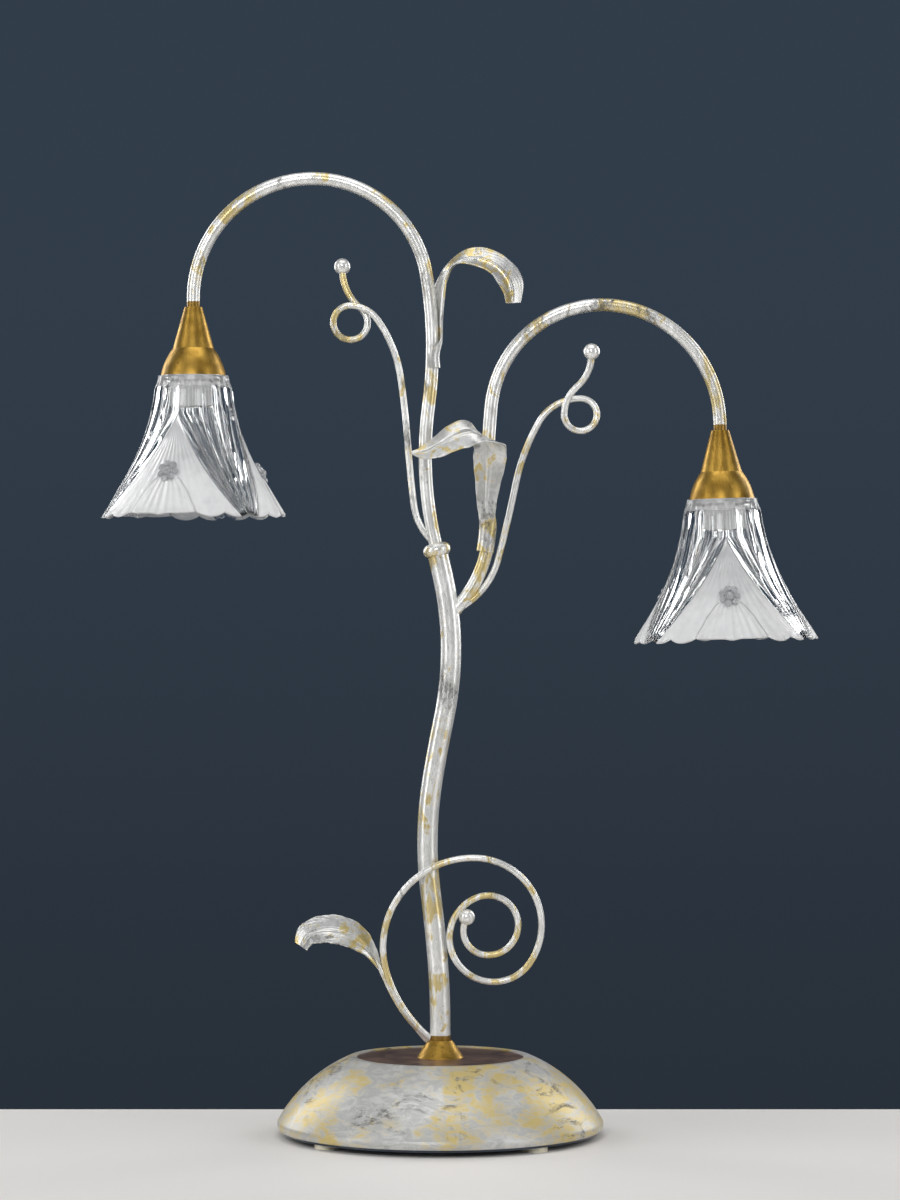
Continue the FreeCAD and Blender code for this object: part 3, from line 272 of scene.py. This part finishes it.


# The tone given to each silver copy is painted light and shade: brighter on tubes and balls, plain on leaves,
# darker on the dome.
finishes = {
    "dome": silverPaint("domeSilver", stretch=(1, 1, 2.6), turn=(0.06, 0.1, 0.5), yellowFrom=0.45,
                        yellowSoftness=0.14, smudgeFrom=0.515, patch=22, metal=0.28, rough=0.36, lightShadeTone=0.8),
    "tube": silverPaint("tubeSilver", stretch=(1.6, 1.6, 0.6), turn=(0, 0.12, 0), yellowFrom=0.505,
                        yellowSoftness=0.05, smudgeFrom=0.5, patch=24, metal=0.55, rough=0.27, lightShadeTone=1.28),
    "leaf": silverPaint("leafSilver", stretch=(1.3, 1, 1), turn=(0.3, 0.5, 0.2), yellowFrom=0.52,
                        yellowSoftness=0.05, smudgeFrom=0.5, patch=34, metal=0.6, rough=0.28, lightShadeTone=1.0),
    "ball": silverPaint("ballSilver", stretch=(1, 1, 1), turn=(0, 0, 0), yellowFrom=0.62,
                        yellowSoftness=0.05, smudgeFrom=0.6, patch=24, metal=0.55, rough=0.27, lightShadeTone=1.28),
    "gold": makeGold("goldPaint", 0.62),
    "goldFoot": makeGold("goldFoot", 0.54),
    "disc": makeCopperDisc(),
    "edge": clouded("navyEdge", colour(0.012, 0.022, 0.04), colour(0.022, 0.038, 0.062), 60, 0.35, 0.2,
                    coat=0.3),
    "pad": clouded("creamPad", colour(0.72, 0.66, 0.5), colour(0.82, 0.77, 0.63), 300, 0.62),
    "holder": clouded("holderWhite", colour(0.80, 0.80, 0.79), colour(0.86, 0.86, 0.85), 200, 0.34, coat=0.2),
    "ceramic": clouded("ceramic", colour(0.82, 0.81, 0.78), colour(0.88, 0.87, 0.85), 260, 0.42, grain=0.2),
    "steel": makeSteel(),
    "brass": clouded("contactBrass", colour(0.62, 0.42, 0.16), colour(0.75, 0.55, 0.24), 300, 0.32, 0.95),
    "iron": clouded("castIron", colour(0.035, 0.034, 0.033), colour(0.07, 0.067, 0.064), 180, 0.7, 0.4, 0.5),
    "black": clouded("inletBlack", colour(0.014, 0.014, 0.014), colour(0.024, 0.024, 0.024), 320, 0.5,
                     grain=0.3),
    "nylon": clouded("terminalNylon", colour(0.68, 0.68, 0.65), colour(0.75, 0.75, 0.72), 240, 0.45),
    "sleeve": clouded("leadSleeve", colour(0.6, 0.59, 0.56), colour(0.68, 0.67, 0.64), 260, 0.5),
    "wire": clouded("filamentWire", colour(0.2, 0.2, 0.21), colour(0.3, 0.3, 0.31), 900, 0.4, 0.9),
    "glass": makeShadeGlass(),
    "bulb": makeClearGlass("bulbGlass", colour(0.99, 0.99, 0.99), 1.47, 1),
    "bead": makeClearGlass("beadGlass", colour(0.78, 0.79, 0.81), 1.85, 0.75),
}
print("finishes made:", len(finishes))

nodeFinish = {
    "foot_pads": "pad", "bottom_cover": "edge", "cover_screws": "steel", "base_dome": "dome",
    "inlet_bushing": "black", "ballast": "iron", "earth_screw": "steel", "terminal_block": "nylon",
    "block_screw": "steel", "top_disc": "disc", "left_tendril_ball": "ball", "right_tendril_ball": "ball",
    "foot_cone": "goldFoot", "threaded_rod": "steel", "rod_washer": "steel", "rod_nut": "steel",
}
sideFinish = {
    "arm": "tube", "nipple": "steel", "cone": "gold", "cap": "gold",
    "holder_shell": "holder", "shade_ring": "holder",
    "holder_core": "ceramic", "contacts": "brass", "bulb_base": "ceramic", "bulb_pins": "steel",
    "bulb_envelope": "bulb", "bulb_filament": "wire", "glass_shade": "glass", "lead": "sleeve",
}


def finishOf(name):
    side, _, rest = name.partition("_")
    if side in ("left", "right") and rest in sideFinish:
        return sideFinish[rest]
    return nodeFinish.get(name, "tube")


for name, piece in nodes.items():
    if not piece.material_slots:
        piece.data.materials.append(None)
    for slot in piece.material_slots:
        slot.material = finishes[finishOf(name)]


# Points joined by faces into a smooth mesh object, which rides on a body and may stand for CAD nodes.
def addPiece(name, points, faces, finish, body, replaced=(), marks=None):
    mesh = bpy.data.meshes.new(name)
    mesh.from_pydata(points, [], faces)
    mesh.polygons.foreach_set("use_smooth", np.ones(len(mesh.polygons), dtype=bool))
    for label, values in (marks or {}).items():
        layer = mesh.attributes.new(label, "FLOAT", "POINT")
        layer.data.foreach_set("value", np.ascontiguousarray(values, dtype=np.float32).ravel())
    mesh.materials.append(finishes[finish])
    mesh.update()
    piece = bpy.data.objects.new(name, mesh)
    bpy.context.scene.collection.objects.link(piece)
    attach(piece, body)
    if replaced:
        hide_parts(*replaced)
    return piece


# Faces of a grid of rows by columns; wrap joins the last column to the first.
def gridFaces(rows, columns, wrap=True):
    low = np.arange(rows - 1)[:, None] * columns
    along = np.arange(columns if wrap else columns - 1)[None, :]
    ahead = (along + 1) % columns
    near, far = low + along, low + ahead
    return np.stack([near, far, far + columns, near + columns], axis=-1).reshape(-1, 4)


# A smooth curve through the rows: the cubic whose slope at each row is half the step between its neighbours.
def throughRows(rows, count):
    rows = np.asarray(rows, dtype=float)
    place = np.linspace(0, len(rows) - 1, count)
    index = np.minimum(place.astype(int), len(rows) - 2)
    part = (place - index)[:, None]
    before, start, end, after = (rows[np.clip(index + step, 0, len(rows) - 1)] for step in (-1, 0, 1, 2))
    leaving = (end - before) / 2
    arriving = (after - start) / 2
    square, cube = part ** 2, part ** 3
    return (start * (2 * cube - 3 * square + 1) + leaving * (cube - 2 * square + part)
            + end * (3 * square - 2 * cube) + arriving * (cube - square))


def unit(vectors):
    return vectors / np.linalg.norm(vectors, axis=-1, keepdims=True)


def eased(values, low, high):  # 0 below low, 1 above high, smooth between
    share = np.clip((values - low) / (high - low), 0, 1)
    return share * share * (3 - 2 * share)


# The lists hold depths and radii in millimetres and half widths in degrees; other lengths are in metres.
bell = dict(
    around=540, down=118, inner=40, height=0.087, wall=0.0027, hole=0.0139, top=0.004,
    profileDepth=(0, 8.3, 15.6, 23, 30.3, 37.7, 45.1, 52.4, 59.8, 67.1, 74.5, 81.8, 87),
    profileRadius=(21.6, 22.2, 23.0, 24.6, 26.4, 28.8, 31.6, 34.9, 38.6, 42.9, 47.5, 52.0, 55.0),
    petalDepth=(24, 30, 38, 48, 58, 68, 78.5, 87), petalHalf=(0, 6, 14, 23.5, 32, 40, 47.5, 54),
    fanDepth=(59, 61.5, 65, 72, 81, 87), fanHalf=(0, 6, 11.5, 17.5, 22, 24),
    reedHeight=0.0019, reedCount=3.5, petalRise=0.0011, fanRise=0.0007, fanRib=0.00038, fanRibs=4,
    band=0.0076, scallop=0.0026, halfPitch=60,  # halfPitch runs from a flower to midway to the next
    beadDepth=0.0595, beadSpread=0.0047, beadRadius=0.0024, beadOffset=0.0031, beadSlope=0.5,
    beadStep=0.8976, middleRise=0.0011,  # beadStep is a seventh of a turn
)
heads = {
    "left": dict(top=(-0.15133, 0, 0.46537), down=(0, 0, -1), turn=math.radians(-18)),
    "right": dict(top=(0.172748, 0, 0.389893), down=(0.027922, 0, -0.99961), turn=0),
}


# The bell is a radius over depth, swollen by reeds, petals and fans; rows run down it, columns round it.
# Angles are measured from the nearest of three flowers: a petal widens from its apex to the rim, and the
# reeds between two petals draw together as the petals widen.
def bellOutside():
    b = bell
    angle = np.linspace(0, 2 * np.pi, b["around"], endpoint=False)[None, :]
    share = np.linspace(0, 1, b["down"])[:, None]
    off = np.degrees((angle + np.pi / 3) % (2 * np.pi / 3) - np.pi / 3)
    away = np.abs(off)
    fanEdge = b["fanHalf"][-1]
    wave = np.where(away < fanEdge, np.sin(np.pi * away / fanEdge) * 0.25 + np.exp(-(away / 4) ** 2) * 0.55,
                    np.abs(np.sin(np.pi * (away - fanEdge) / 18)) ** 0.8)
    depth = share * (b["height"] - b["scallop"] * (1 - wave) * share ** 5)
    mm = depth * 1000
    radius = np.interp(mm, b["profileDepth"], b["profileRadius"]) / 1000
    petal = np.interp(mm, b["petalDepth"], b["petalHalf"])
    fan = np.interp(mm, b["fanDepth"], b["fanHalf"])
    room = np.maximum(b["halfPitch"] - petal, 1)
    reedPlace = np.clip((b["halfPitch"] - away) / room, 0, 1)
    reedWidth = radius * np.radians(room) / b["reedCount"]
    tall = np.minimum(b["reedHeight"], reedWidth * 0.42) * eased(depth, 0.001, b["band"] * 1.3)
    reeds = tall * np.abs(np.cos(np.pi * reedPlace * b["reedCount"])) ** 0.75
    millimetre = np.degrees(0.001 / radius)
    inPetal = eased((petal - away) / millimetre, -0.1, 0.9) * (mm > b["petalDepth"][0])
    inFan = eased((fan - away) / millimetre, -0.1, 0.7) * (mm > b["fanDepth"][0])
    fanLine = np.exp(-((fan - away) / millimetre / 0.45) ** 2) * (mm > b["fanDepth"][0] + 4)
    veins = 0.0002 * np.cos(2 * np.pi * away / np.maximum(petal, 1) * 6)
    ribs = b["fanRib"] * np.cos(2 * np.pi * away / np.maximum(fan, 1) * b["fanRibs"])
    crown = 0.0006 * np.cos(np.pi / 2 * np.clip(away / np.maximum(petal, 1), 0, 1))
    petalShape = b["petalRise"] + veins + crown
    relief = reeds * (1 - inPetal) + inPetal * petalShape + inFan * (b["fanRise"] + ribs) - 0.0005 * fanLine
    frost = np.clip(inPetal * (0.62 + 0.38 * eased(depth, 0.03, 0.075)) - 0.6 * fanLine, 0, 1)
    frost = np.maximum(frost, 0.3 * (1 - eased(depth, b["band"] - 0.0006, b["band"])))
    return angle, depth, radius, relief, frost


# The inner wall follows the plain radius one wall thickness inside, and the rim joins the two.
def bellMesh(head):
    b = bell
    angle, depth, radius, relief, frost = bellOutside()
    outer = radius + relief
    rimDepth = depth[-1]
    innerShare = np.linspace(1, 0, b["inner"])[:, None]
    innerDepth = b["top"] + (rimDepth[None, :] - b["top"]) * innerShare
    innerRadius = np.interp(innerDepth * 1000, b["profileDepth"], b["profileRadius"]) / 1000 - b["wall"]
    innerRadius = np.where(innerShare > 0.98, outer[-1][None, :] - b["wall"] * 0.8, innerRadius)
    roundDepth = rimDepth + 0.0004
    rimRadius = outer[-1] - b["wall"] * 0.4
    allDepth = np.vstack([np.zeros_like(depth[:1]) + 0 * angle, depth, roundDepth[None, :], innerDepth,
                          np.full_like(angle, b["top"])])
    allRadius = np.vstack([np.full_like(angle, b["hole"]), outer, rimRadius[None, :], innerRadius,
                           np.full_like(angle, b["hole"])])
    noFrost = np.zeros_like(innerDepth)
    allFrost = np.vstack([0.3 + 0 * angle, frost, frost[-1:], noFrost, 0 * angle])
    rows = len(allDepth)
    down = np.array(head["down"], dtype=float)
    side = unit(np.cross((0, 1, 0), down))
    front = np.cross(down, side)
    across = side * np.sign(side[0])  # to the right of the view
    nearer = -front * np.sign(front[1])  # towards the camera
    turned = angle + head["turn"]
    facing = np.cos(turned)[..., None] * nearer + np.sin(turned)[..., None] * across
    points = np.array(head["top"]) + allDepth[..., None] * down + allRadius[..., None] * facing
    faces = gridFaces(rows, b["around"])
    closing = gridFaces(2, b["around"])
    last = (rows - 1) * b["around"]
    closing = np.where(closing >= b["around"], closing - b["around"], closing + last)
    faces = np.vstack([faces, closing])[:, ::-1]
    return points.reshape(-1, 3), faces, allFrost.ravel(), down, across, nearer


# A small ball: latitude rows by longitude columns about a centre, with its poles drawn almost to points.
def ball(centre, radius, rows=9, columns=14):
    tilt = np.linspace(0.02, np.pi - 0.02, rows)[:, None]
    spin = np.linspace(0, 2 * np.pi, columns, endpoint=False)[None, :]
    wide, high = np.sin(tilt), np.cos(tilt)
    shape = np.stack([wide * np.cos(spin), wide * np.sin(spin), high + 0 * spin], axis=-1)
    return (np.array(centre) + radius * shape).reshape(-1, 3), gridFaces(rows, columns)[:, ::-1]


# Beads stand in a ring of seven round one larger bead, on the surface at the foot of each flower.
def beadCluster(head, down, side, front, flower):
    b = bell
    depth = b["beadDepth"]
    radius = np.interp(depth * 1000, b["profileDepth"], b["profileRadius"]) / 1000 + b["beadOffset"]
    points, faces, count = [], [], 0
    turns = [b["beadStep"] * bead for bead in range(7)]
    spots = [(0, 0, 1.15)] + [(math.cos(turn), math.sin(turn), 0.85 + 0.12 * (bead % 2))
                              for bead, turn in enumerate(turns)]
    for across, up, size in spots:
        away = flower + head["turn"] + across * b["beadSpread"] / radius
        facing = math.cos(away) * front + math.sin(away) * side
        lower = depth - up * b["beadSpread"]
        raised = b["middleRise"] if (across, up) == (0, 0) else 0
        swell = radius + (lower - depth) * b["beadSlope"] + raised
        centre = np.array(head["top"]) + lower * down + swell * facing
        more, quads = ball(centre, b["beadRadius"] * size)
        points.append(more)
        faces.append(quads + count)
        count += len(more)
    return np.vstack(points), np.vstack(faces)


def addBell(side):
    head = heads[side]
    points, faces, frost, down, across, front = bellMesh(head)
    addPiece(f"{side}Bell", points, faces.tolist(), "glass", f"{side}_glass",
             [f"{side}_glass_shade"], {"frost": frost})
    flowers = (0, 2 * math.pi / 3, -2 * math.pi / 3)
    clusters = [beadCluster(head, down, across, front, flower) for flower in flowers]
    size = len(clusters[0][0])
    addPiece(f"{side}Beads", np.vstack([spots for spots, _ in clusters]),
             np.vstack([quads + size * index for index, (_, quads) in enumerate(clusters)]).tolist(),
             "bead", f"{side}_glass")


for side in heads:
    addBell(side)
print("bells made")


# Each station is a centre, a width direction, a half width and a fold in millimetres, and how far the strip
# hugs its arm: 1 bends its edges towards the fold side, -1 away from it.
leaf = dict(along=150, across=37, thick=0.0009, hugRadius=4.9, hugAngle=1.45,
            rib=1.3, ribWidth=0.14, vein=0.05)
leafStations = {
    "upperLeaf": [
        ((-1.3, -2.9, 470.2), (0.6, 0.8, 0), 3.6, 0, 1), ((-1.2, -2.8, 477), (0.4, 0.9, 0), 3.6, 0.4, 1),
        ((0.8, -0.5, 486), (-0.3, 0.95, 0), 3.8, 1.5, 0.2),
        ((1.2, -0.5, 498.4), (-0.35, 0.93, 0), 5.5, 2.4, 0),
        ((1.8, -1, 511.9), (-0.4, 0.9, 0), 8.5, 3.2, 0), ((3.7, -1, 522.9), (-0.3, 0.95, 0.1), 8.8, 3, 0),
        ((9.2, -2, 533.1), (0, 0.95, 0.3), 8.3, 2.5, 0), ((21.5, -3, 536.8), (0, 0.72, 0.7), 8.6, 2.2, 0),
        ((34.3, -4, 532), (0.35, 0.65, 0.68), 9.3, 2.2, 0), ((42.3, -5, 521.7), (0.65, 0.6, 0.45), 9.2, 2, 0),
        ((44.3, -5.5, 509.5), (0.8, 0.6, 0.1), 5.5, 1, 0),
    ],
    "lowerLeaf": [
        ((27, -5, 357.5), (-1, 0.1, 0), 5.2, 0, -1), ((28.2, -5, 366), (-1, 0.1, 0), 5.1, 0, -1),
        ((28.9, -5.2, 374), (-1, 0.1, 0), 5.0, 0, -0.75), ((28.6, -6.2, 380), (-1, 0, 0), 5.2, 0.5, -0.2),
        ((28.5, -6.8, 389.3), (-1, 0, 0), 6.3, 1.2, 0), ((29.4, -8.5, 402.8), (-1, 0, 0), 8.3, 1.8, 0),
        ((30.3, -11, 415), (-1, 0, 0), 10, 2, 0), ((30.5, -15.5, 423), (-0.97, 0.1, 0.2), 10.1, 2, 0),
        ((27, -21, 427.5), (-0.85, 0.3, 0.45), 10, 2, 0), ((19, -24.5, 430.5), (-0.55, 0.5, 0.7), 10.3, 2, 0),
        ((9.2, -26, 428), (-0.35, 0.55, 0.76), 10, 2, 0), ((-1.2, -26.5, 422), (-0.32, 0.57, 0.76), 8, 2, 0),
        ((-9.8, -26, 418), (-0.3, 0.57, 0.76), 5, 1, 0),
        ((-17.5, -25, 417.3), (-0.3, 0.57, 0.76), 0.9, 0.2, 0),
    ],
    "baseLeaf": [
        ((-37.4, 0.9, 102.4), (-0.73, -0.62, -0.27), 1.4, 0.3, 0),
        ((-42.9, 0.5, 111.6), (-0.62, -0.62, -0.47), 4.6, 1.6, 0),
        ((-50.9, 0, 119.6), (-0.43, -0.62, -0.65), 8.6, 2, 0),
        ((-60.1, -0.5, 124.2), (-0.23, -0.62, -0.74), 10.2, 2, 0),
        ((-70.5, -1, 125.4), (0, -0.62, -0.78), 10, 2, 0),
        ((-80.3, -1, 122.6), (0.39, -0.62, -0.66), 8.5, 2, 0),
        ((-84.8, -1, 115.5), (0.74, -0.62, -0.23), 5.5, 1, 0),
    ],
}


# A strip through the stations: across it runs a fold, a raised midrib with two edges and faint veins.
def leafSurface(stations):
    table = throughRows([[*centre, *width, half, fold, hug] for centre, width, half, fold, hug in stations],
                        leaf["along"])
    centre, width = table[:, 0:3], table[:, 3:6]
    half, fold, hug = (table[:, column:column + 1] for column in (6, 7, 8))
    along = unit(np.gradient(centre, axis=0))
    width = unit(width - along * np.sum(along * width, axis=1, keepdims=True))
    up = np.cross(along, width)
    run = np.linspace(0, 1, leaf["along"])[:, None]
    place = np.linspace(-1, 1, leaf["across"])[None, :]
    hugged = np.abs(hug)
    ribbed = (1 - np.clip(hugged, 0, 1)) * eased(run, 0.16, 0.26) * (1 - eased(run, 0.93, 1))
    rib = leaf["rib"] * np.exp(-(np.abs(place) / leaf["ribWidth"]) ** 4) * ribbed
    veins = leaf["vein"] * np.cos(2 * np.pi * (5 * np.abs(place) - 9 * run)) * ribbed * np.abs(place)
    flatRise = fold * np.abs(place) ** 1.25 + rib + veins
    ring = place * leaf["hugAngle"]
    ringRise = np.sign(hug) * leaf["hugRadius"] * (1 - np.cos(ring))
    ripple = 1 + 0.02 * np.sin(41 * run + 3) + 0.012 * np.sin(97 * run)
    across = (1 - hugged) * place * half * ripple + hugged * leaf["hugRadius"] * np.sin(ring)
    rise = (1 - hugged) * flatRise + hugged * ringRise
    points = centre[:, None, :] + across[..., None] * width[:, None, :] + rise[..., None] * up[:, None, :]
    return points.reshape(-1, 3) / 1000


def addLeaf(name, node):
    points = leafSurface(leafStations[name])
    faces = gridFaces(leaf["along"], leaf["across"], wrap=False).tolist()
    piece = addPiece(name, points, faces, "leaf", "lamp_frame", [node])
    wall = piece.modifiers.new("sheet", "SOLIDIFY")
    wall.thickness = leaf["thick"]
    wall.offset = 0
    wall.use_even_offset = True


for name, node in (("upperLeaf", "upper_leaf"), ("lowerLeaf", "lower_leaf"), ("baseLeaf", "base_leaf")):
    addLeaf(name, node)

stalk = dict(rows=60, columns=24,
             route=[(-6.5, 1.2, 56.5), (-9.5, 1.2, 60), (-15, 1.2, 66.8), (-20.4, 1.2, 73.0),
                    (-25.6, 1.2, 80.3), (-30.2, 1.1, 88.0), (-34.2, 1.0, 96), (-37.6, 0.9, 103),
                    (-40, 0.8, 107.5)],
             radius=[1.7, 2.1, 2.2, 2.1, 1.9, 1.6, 1.3, 1.1, 0.4])


# A tube whose centre follows smooth points and whose radius changes along it, closed at both ends.
def tubeAlong(route, radius, rows, columns):
    table = throughRows([[*point, size] for point, size in zip(route, radius)], rows)
    centre, size = table[:, :3] / 1000, table[:, 3:] / 1000
    along = unit(np.gradient(centre, axis=0))
    side = unit(np.cross(along, (0.0, 1.0, 0.0)))
    up = np.cross(side, along)
    spin = np.linspace(0, 2 * np.pi, columns, endpoint=False)[None, :, None]
    circle = np.cos(spin) * side[:, None, :] + np.sin(spin) * up[:, None, :]
    points = centre[:, None, :] + size[:, None, :] * circle
    points = np.vstack([points.reshape(-1, 3), centre[:1], centre[-1:]])
    faces = gridFaces(rows, columns)
    spot = np.arange(columns)
    after = (spot + 1) % columns
    tip = rows * columns  # the two end points come last
    last = tip - columns
    low = np.stack([after, spot, np.full(columns, tip)], axis=-1)
    high = np.stack([spot + last, after + last, np.full(columns, tip + 1)], axis=-1)
    return points, [*faces.tolist(), *low.tolist(), *high.tolist()]


def addStalk():
    points, faces = tubeAlong(stalk["route"], stalk["radius"], stalk["rows"], stalk["columns"])
    addPiece("baseLeafStalk", points, faces, "tube", "lamp_frame")


addStalk()
print("leaves made")


table = dict(left=-1.6, right=1.6, front=-1.5, back=0.118, thick=0.03)


def addTable():
    t = table
    plan = ((t["left"], t["front"]), (t["right"], t["front"]),
            (t["right"], t["back"]), (t["left"], t["back"]))
    corners = [(x, y, z) for z in (-t["thick"], 0) for x, y in plan]
    faces = [(3, 2, 1, 0), (4, 5, 6, 7), (0, 1, 5, 4), (1, 2, 6, 5), (2, 3, 7, 6), (3, 0, 4, 7)]
    mesh = bpy.data.meshes.new("tableTop")
    mesh.from_pydata(corners, [], faces)
    material = newMaterial("tableWhite")
    tree = material.node_tree
    cloud = noise(tree, objectPlace(tree), 3, 3, 0.5)
    paint = blendColour(tree, cloud, colour(0.83, 0.81, 0.79), colour(0.87, 0.85, 0.83))
    finishWith(tree, base=paint, rough=0.5, specular=0.25)
    mesh.materials.append(material)
    top = bpy.data.objects.new("tableTop", mesh)
    bpy.context.scene.collection.objects.link(top)


addTable()

lights = {
    "frontBox": dict(place=(-0.3, -2.3, 1.2), aim=(0, 0, 0.28), size=(0.9, 0.8), power=15),
    "leftBox": dict(place=(-1.5, -0.9, 0.8), aim=(0, 0, 0.28), size=(0.5, 1.5), power=9),
    "rightBox": dict(place=(1.5, -0.9, 0.8), aim=(0, 0, 0.28), size=(0.5, 1.5), power=8),
    "topBox": dict(place=(0, -0.3, 1.7), aim=(0, 0, 0.2), size=(1.3, 0.9), power=9),
    "backLeft": dict(place=(-1.1, 0.9, 0.8), aim=(0, 0, 0.35), size=(0.4, 1.1), power=7),
    "backRight": dict(place=(1.1, 0.9, 0.8), aim=(0, 0, 0.35), size=(0.4, 1.1), power=7),
}


def addLights():
    for name, light in lights.items():
        lamp = bpy.data.lights.new(name, "AREA")
        lamp.shape = "RECTANGLE"
        lamp.size, lamp.size_y = light["size"]
        lamp.energy = light["power"]
        holder = bpy.data.objects.new(name, lamp)
        holder.location = light["place"]
        towards = Vector(light["aim"]) - Vector(light["place"])
        holder.rotation_euler = towards.to_track_quat("-Z", "Y").to_euler()
        bpy.context.scene.collection.objects.link(holder)


addLights()

# high and low are the wall's colours at the top and the bottom; the darker low is painted shade.
backdrop = dict(high=colour(0.032, 0.047, 0.068), low=colour(0.020, 0.027, 0.038),
                fill=colour(0.5, 0.5, 0.5), fillStrength=0.3)


# The world shows a dark blue wall to the eye and in reflections, darker towards the bottom as painted shade,
# and lights the lamp with an even grey.
def addWorld():
    world = bpy.data.worlds.new("studio")
    bpy.context.scene.world = world
    world.use_nodes = True
    tree = world.node_tree
    tree.nodes.clear()
    way = addNode(tree, "TexCoord").outputs["Generated"]
    height = addNode(tree, "SeparateXYZ", {0: way}).outputs["Z"]
    # Painted shade: the wall goes from the high colour down to the darker low colour towards the bottom.
    shade = blendColour(tree, between(tree, height, -0.2, 0.12), backdrop["low"], backdrop["high"])
    wall = addNode(tree, "Background", {"Color": shade, "Strength": 1.0})
    fill = addNode(tree, "Background", {"Color": backdrop["fill"], "Strength": backdrop["fillStrength"]})
    rays = addNode(tree, "LightPath")
    seen = plus(tree, rays.outputs["Is Camera Ray"], plus(tree, rays.outputs["Is Glossy Ray"],
                                                          rays.outputs["Is Transmission Ray"]))
    share = addNode(tree, "Math", {0: seen, 1: 1.0}, operation="MINIMUM").outputs[0]
    mixed = addNode(tree, "MixShader", {0: share, 1: fill.outputs[0], 2: wall.outputs[0]})
    addNode(tree, "OutputWorld", {"Surface": mixed.outputs[0]})


addWorld()
bpy.context.scene.view_settings.view_transform = "Standard"
print("studio ready")
